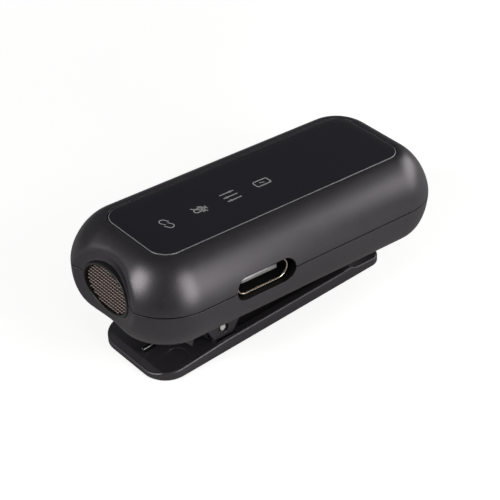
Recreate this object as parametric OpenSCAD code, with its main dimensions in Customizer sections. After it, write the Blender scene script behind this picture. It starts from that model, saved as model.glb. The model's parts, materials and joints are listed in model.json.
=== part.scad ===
// Clip-on wireless lavalier microphone, in millimetres.
// The spring clip's lever lies flat on z = 0 with its centre at the origin. +X points to
// the jaw, -X to the microphone end, and the charging port faces -Y. The housing is drawn
// in a frame of its own, with z = 0 on its flat underside, and is then set on the hinge.

/* [Housing] */
// Length of the housing
body_l = 54; // [52:0.5:58]
// Width of the housing
body_w = 23.8; // [23:0.2:26]
// Height of the housing
body_h = 12.4; // [12:0.2:13.4]
// Radius of the housing's corners, seen from above
body_r = 8; // [7.4:0.1:8.6]
// Height of the line where the two shells meet
parting_h = 5.95; // [5.8:0.05:6.2]
// How far the upper side draws in from the parting line to the flat top
top_round = 4.7; // [4.3:0.1:4.9]
// How far the lower side draws in from the parting line to the flat underside
bottom_round = 2.9; // [2.4:0.1:3.2]
// Bulge of the upper side: 1 is straight, 2 a quarter ellipse
top_bulge = 1.6; // [1.4:0.1:2]
// Bulge of the lower side
bottom_bulge = 2.1; // [1.8:0.1:2.4]
// Wall of the shells
wall = 1.2; // [1:0.1:1.3]
// Thickness of the roof under the top panel
roof_t = 1; // [0.8:0.1:1.2]
// Height of the shadow gap at the parting line
seam_h = 0.12; // [0.08:0.02:0.2]
// Depth of the shadow gap at the parting line
seam_depth = 0.35; // [0.2:0.05:0.5]
// Thickness of the lower shell's locating lip
lip_t = 0.6; // [0.5:0.1:0.8]
// Height of the locating lip above the parting line
lip_h = 0.7; // [0.5:0.1:1]
// Clearance between the locating lip and the upper shell
lip_play = 0.08; // [0.06:0.01:0.12]

/* [Top panel] */
// Thickness of the glossy panel
panel_t = 1; // [0.8:0.1:1.2]
// Bevel along the panel's upper edge
panel_bevel = 0.18; // [0.1:0.02:0.3]
// Gap between the panel and its recess
panel_gap = 0.15; // [0.1:0.05:0.25]
// Width of the flat rim outside the recess
panel_rim = 0.3; // [0.2:0.05:0.4]
// Thickness of the adhesive under the panel
tape_t = 0.15; // [0.1:0.05:0.2]
// Width of the adhesive frame
tape_w = 3; // [2:0.5:4]
// Distance between neighbouring status windows, and from the first to the panel's edge
mark_pitch = 5.57; // [5.2:0.1:6]
// Number of status windows
mark_n = 4; // [2:1:4]
// Width of a status window
mark_w = 2.4; // [1.6:0.2:3]
// Depth of a status window across the panel
mark_d = 3; // [2:0.2:3.4]

/* [Microphone] */
// Height of the microphone's axis above the housing's underside
mic_h = 5.6; // [5.4:0.1:5.8]
// Width of the microphone hole
mic_w = 10; // [9:0.2:10.4]
// Height of the microphone hole
mic_tall = 7.1; // [6.8:0.1:7.3]
// Extra half width of the dished surround at its mouth
dish_w = 1.35; // [0.8:0.05:1.5]
// How far inside the housing's end the rim of the hole lies
rim_depth = 0.9; // [0.6:0.1:1.1]
// How far the trim ring stands out of the rim
ring_proud = 0.2; // [0.1:0.05:0.4]
// Width of the trim ring's front lip
ring_lip = 0.5; // [0.4:0.05:0.7]
// Wall of the trim ring behind its lip
ring_wall = 0.35; // [0.3:0.05:0.45]
// Length of the trim ring
ring_l = 1.75; // [1.5:0.05:2]
// Thickness of the front lip and setback of the mesh
lip_d = 0.35; // [0.2:0.05:0.5]
// Thickness of the woven mesh
mesh_t = 0.25; // [0.2:0.05:0.3]
// Spacing of the mesh's wires
mesh_pitch = 0.56; // [0.54:0.01:0.7]
// Width of a gap in the mesh
mesh_hole = 0.32; // [0.2:0.01:0.4]
// Width of the plain border round the mesh
mesh_border = 0.2; // [0.1:0.05:0.3]
// Radius of the microphone capsule
capsule_r = 3; // [2.6:0.1:3.1]
// Length of the microphone capsule
capsule_l = 2.7; // [2.2:0.1:3]
// Wall of the rubber boot round the capsule
boot_wall = 0.6; // [0.4:0.05:0.65]
// Length of the rubber boot
boot_l = 3.8; // [3.5:0.1:4]
// Thickness of the two ribs that hold the boot
cradle_t = 1.2; // [0.8:0.1:1.6]
// Width of the ribs beside the boot
cradle_edge = 1; // [0.8:0.1:1.4]

/* [Charging port] */
// Distance of the port's centre from the microphone end
port_x = 18.9; // [17:0.1:21]
// Height of the port's centre above the housing's underside
port_h = 6.1; // [5.95:0.05:6.3]
// Width of the port's metal shell
port_w = 8.94; // [8.94:0.01:8.98]
// Height of the port's metal shell
port_tall = 3.26; // [3.2:0.01:3.3]
// Length of the port's metal shell
port_l = 7.35; // [7:0.05:7.6]
// Sheet thickness of the port's metal shell
port_sheet = 0.3; // [0.2:0.05:0.35]
// How far the port lies inside the housing's side
port_in = 0.95; // [0.6:0.05:1.2]
// Width of the opening in the housing
slot_w = 10.2; // [9.8:0.1:10.6]
// Height of the opening in the housing
slot_tall = 3.5; // [3.4:0.05:3.7]
// Width of the port's tongue
tongue_w = 6.69; // [6.4:0.01:6.9]
// Thickness of the port's tongue
tongue_t = 0.7; // [0.6:0.02:0.8]
// How far the tongue lies inside the port's mouth
tongue_in = 0.75; // [0.5:0.05:1]
// Length of the plastic block at the back of the port
port_back = 2.1; // [1.8:0.1:2.6]
// Number of contacts on each face of the tongue
pin_n = 12; // [8:1:12]
// Spacing of the contacts
pin_pitch = 0.5; // [0.45:0.01:0.52]
// Width of a contact
pin_w = 0.25; // [0.2:0.01:0.3]

/* [Circuit board] */
// Thickness of the board
board_t = 0.8; // [0.6:0.1:1]
// Gap from the microphone end to the board
board_front = 7.5; // [7:0.1:8]
// Gap from the plain end to the board
board_rear = 3; // [2.8:0.1:3.6]
// Gap from each side of the housing to the board
board_side = 2.7; // [2.6:0.1:3]
// Radius of the board's corners
board_r = 4; // [3.5:0.1:4.5]
// Distance of the board's screws from its edges
screw_inset = 2.6; // [2.4:0.1:3]
// Radius of a screw's thread
screw_r = 0.7; // [0.6:0.05:0.8]
// Radius of a screw's head
screw_head_r = 1.2; // [1:0.05:1.4]
// Height of a screw's head
screw_head_h = 0.7; // [0.5:0.05:0.8]
// Length of a screw under its head
screw_l = 2.4; // [2:0.1:2.6]
// Radius of the bosses that carry the board
boss_r = 1.7; // [1.5:0.1:1.9]
// Clearance between a screw and the hole in the board
screw_play = 0.15; // [0.1:0.05:0.25]
// Height of a status lamp
led_h = 0.6; // [0.4:0.1:0.7]
// Gap between the radio's shield and the rear screws' bosses
shield_gap = 1.7; // [0.5:0.1:3]
// Gap between a status lamp and its light pipe
led_gap = 0.15; // [0.1:0.05:0.3]
// Thickness of the bar that joins the light pipes
guide_bar = 0.9; // [0.7:0.1:1]

/* [Battery] */
// Width of the battery
battery_w = 14; // [12:0.5:14.5]
// Gap between the battery and the board's rear edge
battery_gap = 1; // [0.8:0.1:2]
// Gap between the battery and the bar of the light pipes
guide_gap = 2.9; // [2:0.1:4]
// Gap above the battery, in which it can swell
swell_gap = 0.78; // [0.5:0.02:1.2]
// Radius of the battery's long edges
battery_edge = 1.5; // [1:0.1:1.8]
// Thickness of the foam pad under the battery
pad_t = 1; // [0.8:0.1:1.1]
// How far the pad lies inside the battery's outline
pad_inset = 2.8; // [2.5:0.1:4]

/* [Button] */
// Distance of the button's centre from the microphone end
button_x = 19; // [18:0.1:20]
// Width of the button
button_w = 8; // [7:0.2:9]
// Height of the button
button_tall = 2.6; // [2.2:0.1:2.8]
// How far the button stands out of the side
button_proud = 0.35; // [0.3:0.05:0.5]
// Travel of the button
button_travel = 0.25; // [0.2:0.05:0.3]
// Clearance round the button
button_play = 0.06; // [0.04:0.01:0.1]
// Width of the flange that keeps the button in
button_flange = 0.6; // [0.4:0.1:0.8]
// Height of the push switch behind the button
switch_h = 2.8; // [2.6:0.1:3]

/* [Clip lever] */
// Length of the lever
lever_l = 41.3; // [40:0.1:43]
// Width of the lever
lever_w = 14.8; // [14.4:0.1:15.4]
// Corner radius at the press end
press_r = 3.8; // [3:0.1:4.4]
// Corner radius at the jaw end
tip_r = 2.3; // [1.8:0.1:3]
// Thickness at the press end, behind the thumb bevel
press_t = 1.5; // [1.4:0.05:1.6]
// Length of the thumb bevel
bevel_l = 1.2; // [0.8:0.1:2]
// Drop of the thumb bevel
bevel_h = 0.5; // [0.3:0.05:0.7]
// Height of the rim from the hinge to the jaw
rim_t = 2.15; // [2:0.05:2.4]
// Rise of the rim's hump in front of the jaw
hump_h = 0.15; // [0.05:0.05:0.25]
// Length of the hump's rise
hump_l = 1.7; // [1:0.1:2.5]
// Length of the hump's fall into the jaw
hump_fall = 0.85; // [0.6:0.05:1.2]
// Width of the rim
rim_w = 1.2; // [1:0.1:1.3]
// Thickness of the floor between the rims
floor_t = 1.2; // [1.1:0.05:1.3]
// Bevel along the lower edge
foot_bevel = 0.3; // [0.2:0.05:0.4]
// Length of the jaw
jaw_l = 6.6; // [5.6:0.1:7.4]
// Width of the jaw
jaw_w = 11.2; // [10:0.2:12]
// Gap between the closed jaw and the housing
jaw_gap = 0.15; // [0.1:0.05:0.25]
// Number of grip teeth on the jaw
jaw_teeth = 5; // [3:1:6]
// Depth of a grip tooth
tooth_depth = 0.5; // [0.3:0.05:0.6]
// Plain length between the last tooth and the tip
jaw_end = 0.75; // [0.5:0.05:1.2]
// Height of the jaw's base below the housing
jaw_base = 3.54; // [3.4:0.02:3.7]
// Distance between the hinge lugs and the tray behind them
tray_gap = 1; // [0.8:0.1:1.5]
// Radius of the two round ejector marks on the press end
eject_r = 1.6; // [1.2:0.05:1.8]
// Depth of the ejector marks
eject_depth = 0.08; // [0.05:0.01:0.15]
// Distance of the ejector marks from the press end
eject_x = 4.65; // [4:0.05:5.5]
// Distance of the ejector marks from the middle
eject_y = 4.8; // [4.2:0.1:5.2]

/* [Hinge] */
// Distance of the pin from the lever's press end
pin_x = 11.6; // [11.2:0.1:12]
// Height of the pin above the lever's underside
pin_h = 3.75; // [3.65:0.05:3.9]
// Distance of the pin from the housing's microphone end
pin_from_end = 15.95; // [15.6:0.05:16.4]
// Depth of the pin below the housing's underside
pin_depth = 3.65; // [3.5:0.05:3.8]
// Pitch of the closed housing over the lever, in degrees
pitch = 4.9; // [4.5:0.1:5.2]
// Angle by which the clip opens, in degrees
open_angle = 18; // [12:1:18]
// Radius of the pin
pin_r = 0.7; // [0.6:0.05:0.8]
// Running clearance of the lever on the pin
pin_play = 0.04; // [0.02:0.01:0.08]
// Clearance of the pin in the ears
ear_play = 0.02; // [0.01:0.01:0.03]
// How far the pin's ends lie inside the ears
pin_in = 0.15; // [0.1:0.05:0.3]
// Distance between the outer faces of the ears
ears_w = 13.2; // [12.8:0.1:13.6]
// Thickness of an ear
ear_t = 1.05; // [0.9:0.05:1.2]
// Half width of an ear where it leaves the housing
ear_top = 4.6; // [4:0.1:5]
// Half width of an ear at its foot
ear_foot = 1.65; // [1.4:0.05:1.8]
// Depth of an ear below the housing's underside
ear_depth = 5.1; // [5:0.05:5.2]
// Extra radius of the shallow recess round the pin's end
recess_r = 0.15; // [0.1:0.05:0.25]
// Gap between the stop tooth and the lever when the clip is open
stop_gap = 0.1; // [0.05:0.05:0.2]
// Distance of the stop tooth's point from the pin
stop_x = 5.45; // [5.2:0.05:5.8]
// Thickness of a lever lug
lug_t = 1; // [0.8:0.05:1.2]
// Gap between a lug and its ear
lug_gap = 0.25; // [0.15:0.05:0.35]
// Radius of a lug round the pin
lug_r = 1.9; // [1.6:0.1:2.2]
// Running gap between the ears and the lever below them
relief_gap = 0.25; // [0.15:0.05:0.35]

/* [Spring] */
// Radius of the spring wire
wire_r = 0.35; // [0.3:0.01:0.38]
// Number of whole curls round the pin
curls = 5; // [3:1:5]
// Clearance between the curls and the pin
curl_play = 0.25; // [0.2:0.05:0.35]
// Gap between neighbouring curls
curl_gap = 0.5; // [0.48:0.01:0.6]
// Reach of the leg that presses on the lever, from the pin
lever_leg = 9.9; // [9:0.1:10.4]
// Reach of the leg that presses on the housing, from the pin
body_leg = 6.6; // [5:0.1:7.5]
// Place of the legs' ends across the clip, from the middle towards the port's side
leg_y = 0.9; // [0:0.1:2]
// Straight length of a leg next to the curls
leg_straight = 1.3; // [1.2:0.1:2]
// Length of the shallow channel under the lever's leg, from the pin
channel_l = 5; // [4:0.1:6]
// Gap between the lever's leg and the channel's floor
channel_gap = 0.04; // [0.02:0.01:0.05]
// Radial gap between the curls and the well in the lever
well_gap = 0.25; // [0.15:0.05:0.35]
// Gap left between a leg and what it presses on
leg_gap = 0.06; // [0.04:0.01:0.1]

/* [Hidden] */

// Fineness
round_fn = 64;
oval_n = 40;
top_steps = 12;
bottom_steps = 8;
inner_steps = 5;

// Cut allowance: how far a cutting tool runs past what it cuts
past = 1;
// Thickness that stands for a flat outline
skim = 0.01;

// Colours
case_grey = "#4b494b";
dark_grey = "#242528";
gloss_black = "#141518";
bright_steel = "#c9cace";
gold = "#c9a04a";
board_green = "#1f4a33";
chip_black = "#1b1b1d";
foam_grey = "#6b6a66";

// Panel and its recess
flat_l = body_l - 2 * top_round;
flat_w = body_w - 2 * top_round;
recess_l = flat_l - 2 * panel_rim;
recess_w = flat_w - 2 * panel_rim;
recess_corner = body_r - top_round - panel_rim;
recess_z = body_h - panel_t - tape_t;
panel_l = recess_l - 2 * panel_gap;
panel_w = recess_w - 2 * panel_gap;
panel_corner = recess_corner - panel_gap;
mark_x = [for (i = [1:mark_n]) mark_pitch * i - panel_l / 2];

// Inside of the shells
roof_z = recess_z - roof_t;
lip_in = wall + inset_at(parting_h + lip_h) + lip_play;
lip_root = 1;
mic_end = -body_l / 2;
side_y = -body_w / 2;

// Microphone stack, from the rim inwards
rim_x = mic_end + rim_depth;
ring_x = rim_x - ring_proud;
ring_back = ring_x + ring_l;
mesh_x = ring_x + lip_d;
foam_x = mesh_x + mesh_t;
ring_play = 0.03;
mesh_play = 0.05;
mesh_w = mic_w - 2 * (ring_play + ring_wall + mesh_play);
mesh_tall = mic_tall - 2 * (ring_play + ring_wall + mesh_play);
boot_r = capsule_r + boot_wall;
boot_lip = 0.4;
capsule_play = 0.02;

// Port and board
port_cx = mic_end + port_x;
port_y = side_y + port_in;
port_back_y = port_y + port_l;
board_top = port_h - port_tall / 2;
board_bottom = board_top - board_t;
board_x0 = mic_end + board_front;
board_x1 = body_l / 2 - board_rear;
board_half = body_w / 2 - board_side;
screw_xs = [board_x0 + screw_inset, board_x1 - screw_inset];
screw_y = board_half - screw_inset;
pipe_z = board_top + led_h + led_gap;
pipe_play = 0.1;
pipe_w = mark_w - 2 * pipe_play;
pipe_d = mark_d - 2 * pipe_play;
led_size = [1.6, 0.8];

// Chips, as length, width and height
shield_size = [14, 12, 1.5];
shield_sheet = 0.2;
shield_x = screw_xs[1] - boss_r - shield_gap - shield_size[0] / 2;
radio_size = [5, 5, 0.9];
audio_size = [3, 3, 0.8];
charge_size = [3, 3, 0.75];
antenna_size = [1.6, 6, 1];
chip_gap = 1;

// Battery
guide_x0 = mark_x[0] - mark_w;
guide_x1 = mark_x[mark_n - 1] + mark_w / 2;
battery_l = board_x1 - battery_gap - guide_x1 - guide_gap;
battery_x = guide_x1 + guide_gap + battery_l / 2;
battery_z = board_top + pad_t;
battery_t = roof_z - swell_gap - battery_z;

// Button
button_cx = mic_end + button_x;
button_cz = board_top + switch_h / 2;
seat_y = -side_y - wall;
seat_play = 0.1;
flange_t = 0.6;
flange_y = seat_y - seat_play;
nub_r = 0.7;
nub_l = 0.25;
switch_gap = button_travel + 0.05;
switch_w = 4.6;
switch_d = 3.1;

// Hinge and clip
hinge_x = pin_x - lever_l / 2;
pin_bx = mic_end + pin_from_end;
ear_y = ears_w / 2 - ear_t;
lug_y = ear_y - lug_gap - lug_t;
pin_l = ears_w - 2 * pin_in;
recess_d = 0.35;
relief_r = norm([ear_foot, ear_depth - pin_depth]) + relief_gap;
tray_x0 = hinge_x + lug_r + tray_gap;
jaw_x0 = lever_l / 2 - jaw_l;
rim_slope = (rim_t - press_t) / (pin_x - bevel_l);
base_x = jaw_x0 + hump_fall;

// Depth of the stop tooth, worked out so that it nears the lever at the open angle
open_pitch = pitch - open_angle;
stop_rise = press_t + stop_gap - pin_h - stop_x * sin(open_pitch)
  + rim_slope * (pin_x - bevel_l - stop_x * cos(open_pitch));
stop_depth = pin_depth - stop_rise / (cos(open_pitch) - rim_slope * sin(open_pitch));

// Spring
curl_r = pin_r + curl_play + wire_r;
curl_pitch = 2 * wire_r + curl_gap;
curl_steps = 8;
wire_step = 2 * PI * curl_r / curl_steps;
wire_sides = 6;
low_x = hinge_x - lever_leg;
low_end = [low_x, press_at(low_x) + wire_r + leg_gap];
high_end = placed([pin_bx - body_leg, -wire_r - leg_gap]);
low_angle = leg_angle(low_end, -1);
high_angle = leg_angle(high_end, 1) + 360 * curls;
turns = (high_angle - low_angle) / 360;
coil_half = turns * curl_pitch / 2;

// Fraction of a side's draw-in at a fraction of its height
function bulge(t, n) = 1 - pow(1 - pow(t, n), 1 / n);
// Draw-in of the housing's outer surface at a height
function inset_at(z) = z > parting_h
  ? top_round * bulge((z - parting_h) / (body_h - parting_h), top_bulge)
  : bottom_round * bulge((parting_h - z) / parting_h, bottom_bulge);
// Heights from a to b, closer together near the strongly curved end b
function heights(a, b, n) = [for (i = [0:n]) a + (b - a) * sin(90 * i / n)];
// Outline points of the surface lying deeper than the outside by a wall
function skin(zs, inner = 0) = [for (z = zs) [inset_at(z) + inner, z]];
function reversed(v) = [for (i = [len(v) - 1:-1:0]) v[i]];
// Height of the lever's upper face between the press end and the hinge
function press_at(x) = press_t + (x + lever_l / 2 - bevel_l) * rim_slope;
// A point of the housing's frame, in the part's frame, as x and z
function placed(p) = let (dx = p[0] - pin_bx, dz = p[1] + pin_depth)
  [hinge_x + dx * cos(pitch) + dz * sin(pitch), pin_h - dx * sin(pitch) + dz * cos(pitch)];

// Sets the housing's parts on the hinge
module on_hinge() {
  translate([hinge_x, 0, pin_h]) rotate([0, pitch, 0]) translate([-pin_bx, 0, pin_depth])
    children();
}

// Block with rounded corners whose side follows the points [draw-in, z], upwards. r0 and r1
// are the corner radii at its -X and +X ends.
module rounded_block(l, w, r0, r1, pts) {
  bottom = pts[0][1];
  top = pts[len(pts) - 1][1];
  across = concat([for (p = pts) [w / 2 - p[0], p[1]]],
                  [for (p = reversed(pts)) [p[0] - w / 2, p[1]]]);
  translate([r0 - l / 2, 0, 0]) rotate([90, 0, 90]) linear_extrude(l - r0 - r1) polygon(across);
  for (side = [-1, 1]) {
    r = side < 0 ? r0 : r1;
    edge = concat([[0, bottom]], [for (p = pts) [r - p[0], p[1]]], [[0, top]]);
    mirror([side < 0 ? 1 : 0, 0, 0]) {
      translate([l / 2 - r, w / 2 - r, 0]) rotate([90, 0, 0]) linear_extrude(w - 2 * r)
        polygon(edge);
      for (corner = [0, 1]) mirror([0, corner, 0]) translate([l / 2 - r, w / 2 - r, 0])
        rotate_extrude(angle = 90, $fn = round_fn) polygon(edge);
    }
  }
}

// Upright ring between the housing's sides drawn in by a and by b
module side_ring(a, b, z0, z1) {
  difference() {
    rounded_block(body_l, body_w, body_r, body_r, [[a, z0], [a, z1]]);
    rounded_block(body_l, body_w, body_r, body_r, [[b, z0 - past], [b, z1 + past]]);
  }
}

// Flat oval
module oval_outline(w, tall) {
  polygon([for (i = [0:oval_n - 1]) let (a = 360 * i / oval_n) [w / 2 * cos(a), tall / 2 * sin(a)]]);
}

// Oval prism along X on the microphone's axis
module oval(w, tall, x0, x1) {
  translate([x0, 0, mic_h]) rotate([90, 0, 90]) linear_extrude(x1 - x0) oval_outline(w, tall);
}

// Flat-sided slot with round ends, along Y from y0 to y1
module slot(w, tall, y0, y1) {
  rotate([-90, 0, 0]) translate([0, 0, y0]) {
    for (side = [-1, 1]) translate([side * (w - tall) / 2, 0, 0])
      cylinder(h = y1 - y0, r = tall / 2, $fn = round_fn);
    translate([(tall - w) / 2, -tall / 2, 0]) cube([w - tall, tall, y1 - y0]);
  }
}

// Chip on the board, standing on z = 0
module chip(size) {
  translate([-size[0] / 2, -size[1] / 2, 0]) cube(size);
}

// What is cut out of both shells: the microphone hole and its dish, the port and the button
module side_openings() {
  oval(mic_w, mic_tall, mic_end - past, ring_back + past);
  hull() {
    oval(mic_w + 2 * dish_w + 2 * past, mic_tall + 2 * dish_w + 2 * past,
         rim_x - rim_depth - past * rim_depth / dish_w, rim_x - rim_depth);
    oval(mic_w, mic_tall, rim_x - skim, rim_x);
  }
  translate([port_cx, 0, port_h]) slot(slot_w, slot_tall, side_y - past, side_y + wall + past);
  translate([button_cx, 0, button_cz]) {
    slot(button_w + 2 * button_play, button_tall + 2 * button_play, seat_y - past, past - side_y);
    slot(button_w + 2 * button_flange + 2 * seat_play, button_tall + 2 * button_flange + 2 * seat_play,
         seat_y - wall - lip_t, seat_y);
  }
}

// Rib across the housing that holds the boot, from z0 to z1
module cradle(z0, z1) {
  x = ring_back + boot_l / 2;
  half = boot_r + cradle_edge;
  difference() {
    translate([x - cradle_t / 2, -half, z0]) cube([cradle_t, 2 * half, z1 - z0]);
    translate([x - cradle_t, 0, mic_h]) rotate([0, 90, 0])
      cylinder(h = 2 * cradle_t, r = boot_r, $fn = round_fn);
  }
}

module upper_shell() {
  color(case_grey) on_hinge() {
    difference() {
      rounded_block(body_l, body_w, body_r, body_r, skin(heights(parting_h, body_h, top_steps)));
      rounded_block(body_l, body_w, body_r, body_r,
                    concat([[wall, parting_h - past]],
                           skin(heights(parting_h, roof_z, inner_steps), wall)));
      side_ring(-past, seam_depth, parting_h - past, parting_h + seam_h);
      rounded_block(recess_l, recess_w, recess_corner, recess_corner,
                    [[0, recess_z], [0, body_h + past]]);
      for (x = mark_x) translate([x - mark_w / 2, -mark_d / 2, roof_z - past])
        cube([mark_w, mark_d, roof_t + 2 * past]);
      side_openings();
    }
    cradle(parting_h, roof_z);
  }
}

// Ear of the hinge, with the stop tooth beside it, on the +Y side
module ear() {
  translate([0, ear_y + ear_t, 0]) rotate([90, 0, 0]) linear_extrude(ear_t) {
    polygon([[pin_bx - ear_top, 0], [pin_bx - ear_top, wall / 2], [pin_bx + ear_top, wall / 2],
             [pin_bx + ear_top, 0], [pin_bx + ear_foot, -ear_depth], [pin_bx - ear_foot, -ear_depth]]);
    polygon([[pin_bx - stop_x - stop_depth, 0], [pin_bx - stop_x - stop_depth, wall / 2],
             [pin_bx - ear_top, wall / 2], [pin_bx - ear_top, 0], [pin_bx - stop_x, -stop_depth]]);
  }
}

module lower_shell() {
  color(case_grey) on_hinge() {
    difference() {
      union() {
        difference() {
          rounded_block(body_l, body_w, body_r, body_r,
                        reversed(skin(heights(parting_h, 0, bottom_steps))));
          rounded_block(body_l, body_w, body_r, body_r,
                        concat(reversed(skin(heights(parting_h, wall, inner_steps), wall)),
                               [[wall, parting_h + past]]));
        }
        side_ring(lip_in, lip_in + lip_t, parting_h - lip_root, parting_h + lip_h);
        side_ring(wall / 2, lip_in + lip_t, parting_h - lip_root - lip_t, parting_h - lip_root);
        for (x = screw_xs, y = [-screw_y, screw_y]) translate([x, y, wall / 2])
          cylinder(h = board_bottom - wall / 2, r = boss_r, $fn = round_fn);
        cradle(wall / 2, parting_h);
        for (side = [0, 1]) mirror([0, side, 0]) ear();
      }
      side_openings();
      for (x = screw_xs, y = [-screw_y, screw_y])
        translate([x, y, board_top - screw_l]) cylinder(h = screw_l, r = screw_r, $fn = round_fn);
      translate([pin_bx, 0, -pin_depth]) rotate([90, 0, 0]) {
        translate([0, 0, -ears_w]) cylinder(h = 2 * ears_w, r = pin_r + ear_play, $fn = round_fn);
        for (side = [0, 1]) mirror([0, 0, side]) translate([0, 0, ears_w / 2 - recess_d])
          cylinder(h = past + recess_d, r = pin_r + recess_r, $fn = round_fn);
      }
    }
  }
}

module top_panel() {
  bottom = recess_z + tape_t;
  color(gloss_black) on_hinge()
    rounded_block(panel_l, panel_w, panel_corner, panel_corner,
                  [[0, bottom], [0, body_h - panel_bevel], [panel_bevel, body_h]]);
}

module panel_tape() {
  color(dark_grey) on_hinge() difference() {
    rounded_block(panel_l, panel_w, panel_corner, panel_corner,
                  [[0, recess_z], [0, recess_z + tape_t]]);
    translate([tape_w - panel_l / 2, tape_w - panel_w / 2, recess_z - past])
      cube([panel_l - 2 * tape_w, panel_w - 2 * tape_w, tape_t + 2 * past]);
  }
}

module light_guide() {
  color("#d8dadc", 0.8) on_hinge() {
    for (x = mark_x) translate([x - pipe_w / 2, -pipe_d / 2, pipe_z])
      cube([pipe_w, pipe_d, recess_z - pipe_z]);
    translate([guide_x0, -pipe_d / 2, roof_z - guide_bar])
      cube([guide_x1 - guide_x0, pipe_d, guide_bar]);
  }
}

module status_leds() {
  color("#e9e6c8") on_hinge() for (x = mark_x)
    translate([x, 0, board_top]) chip([led_size[0], led_size[1], led_h]);
}

module circuit_board() {
  l = board_x1 - board_x0;
  color(board_green) on_hinge() difference() {
    translate([(board_x0 + board_x1) / 2, 0, 0])
      rounded_block(l, 2 * board_half, board_r, board_r, [[0, board_bottom], [0, board_top]]);
    for (x = screw_xs, y = [-screw_y, screw_y]) translate([x, y, board_bottom - past])
      cylinder(h = board_t + 2 * past, r = screw_r + screw_play, $fn = round_fn);
  }
}

module board_screws() {
  drive = screw_head_r / 3;
  color(bright_steel) on_hinge() for (x = screw_xs, y = [-screw_y, screw_y])
    translate([x, y, board_top]) difference() {
      union() {
        cylinder(h = screw_head_h, r = screw_head_r, $fn = round_fn);
        translate([0, 0, -screw_l]) cylinder(h = screw_l, r = screw_r, $fn = round_fn);
      }
      for (turn = [0, 90]) rotate([0, 0, turn]) translate([-drive * 2, -drive / 2, screw_head_h / 2])
        cube([drive * 4, drive, screw_head_h]);
    }
}

module rf_shield() {
  size = shield_size;
  color(bright_steel) on_hinge() translate([shield_x, 0, board_bottom - size[2]]) difference() {
    chip(size);
    translate([0, 0, shield_sheet])
      chip([size[0] - 2 * shield_sheet, size[1] - 2 * shield_sheet, size[2]]);
  }
}

module radio_chip() {
  color(chip_black) on_hinge() translate([shield_x, 0, board_bottom - radio_size[2]]) chip(radio_size);
}

module audio_chip() {
  color(chip_black) on_hinge()
    translate([screw_xs[0] + boss_r + chip_gap + audio_size[0] / 2, screw_y - chip_gap, board_top])
      chip(audio_size);
}

module charge_chip() {
  color(chip_black) on_hinge()
    translate([port_cx + port_w / 2 + chip_gap + charge_size[0] / 2, -screw_y, board_top])
      chip(charge_size);
}

module antenna() {
  color("#e4e2da") on_hinge()
    translate([board_x0 + chip_gap / 2 + antenna_size[0] / 2, 0, board_top]) chip(antenna_size);
}

module battery() {
  color("#9fa3a8") on_hinge() translate([battery_x, 0, battery_z])
    rotate([90, 0, 90]) translate([0, 0, -battery_l / 2]) linear_extrude(battery_l) {
      r = battery_edge;
      for (y = [-1, 1], z = [r, battery_t - r]) translate([y * (battery_w / 2 - r), z])
        circle(r = r, $fn = round_fn);
      translate([r - battery_w / 2, 0]) square([battery_w - 2 * r, battery_t]);
      translate([-battery_w / 2, r]) square([battery_w, battery_t - 2 * r]);
    }
}

module battery_pad() {
  color(foam_grey) on_hinge()
    translate([battery_x, 0, board_top])
      chip([battery_l - 2 * pad_inset, battery_w - 2 * pad_inset, pad_t]);
}

module usb_shell() {
  color(bright_steel) on_hinge() translate([port_cx, 0, port_h]) difference() {
    slot(port_w, port_tall, port_y, port_back_y);
    slot(port_w - 2 * port_sheet, port_tall - 2 * port_sheet, port_y - past, port_back_y + past);
  }
}

module usb_tongue() {
  block_y = port_back_y - port_back;
  color(chip_black) on_hinge() translate([port_cx, 0, port_h]) {
    slot(port_w - 2 * port_sheet, port_tall - 2 * port_sheet, block_y, port_back_y);
    translate([-tongue_w / 2, port_y + tongue_in, -tongue_t / 2])
      cube([tongue_w, block_y - port_y - tongue_in, tongue_t]);
  }
}

module usb_contacts() {
  contact_t = 0.05;
  start = 0.4;
  l = port_l - port_back - tongue_in - start;
  color(gold) on_hinge() translate([port_cx, port_y + tongue_in + start, port_h])
    for (side = [0, 1]) mirror([0, 0, side]) for (i = [0:pin_n - 1])
      translate([(i - (pin_n - 1) / 2) * pin_pitch - pin_w / 2, 0, tongue_t / 2])
        cube([pin_w, l, contact_t]);
}

module grille_ring() {
  w = mic_w - 2 * ring_play;
  tall = mic_tall - 2 * ring_play;
  color(dark_grey) on_hinge() difference() {
    oval(w, tall, ring_x, ring_back);
    oval(w - 2 * ring_lip, tall - 2 * ring_lip, ring_x - past, ring_back + past);
    oval(w - 2 * ring_wall, tall - 2 * ring_wall, mesh_x, ring_back + past);
  }
}

// Net of square gaps, as far as whole gaps fit inside the border
module mic_mesh() {
  reach = [mesh_w / 2 - mesh_border, mesh_tall / 2 - mesh_border];
  count = [for (r = reach) floor(r / mesh_pitch)];
  color("#8d8175") on_hinge() translate([mesh_x, 0, mic_h]) rotate([90, 0, 90])
    linear_extrude(mesh_t) difference() {
      oval_outline(mesh_w, mesh_tall);
      for (i = [-count[0]:count[0]], j = [-count[1]:count[1]]) {
        far = [abs(i) * mesh_pitch + mesh_hole / 2, abs(j) * mesh_pitch + mesh_hole / 2];
        if (norm([far[0] / reach[0], far[1] / reach[1]]) < 1)
          translate([i * mesh_pitch - mesh_hole / 2, j * mesh_pitch - mesh_hole / 2])
            square(mesh_hole);
      }
    }
}

module wind_foam() {
  color(foam_grey) on_hinge() oval(mesh_w, mesh_tall, foam_x, ring_back);
}

module mic_boot() {
  color(dark_grey) on_hinge() translate([ring_back, 0, mic_h]) rotate([0, 90, 0]) difference() {
    cylinder(h = boot_l, r = boot_r, $fn = round_fn);
    translate([0, 0, boot_lip])
      cylinder(h = capsule_l + capsule_play, r = capsule_r + capsule_play, $fn = round_fn);
    translate([0, 0, -past]) cylinder(h = 2 * past, r = capsule_r - boot_lip, $fn = round_fn);
  }
}

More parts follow.
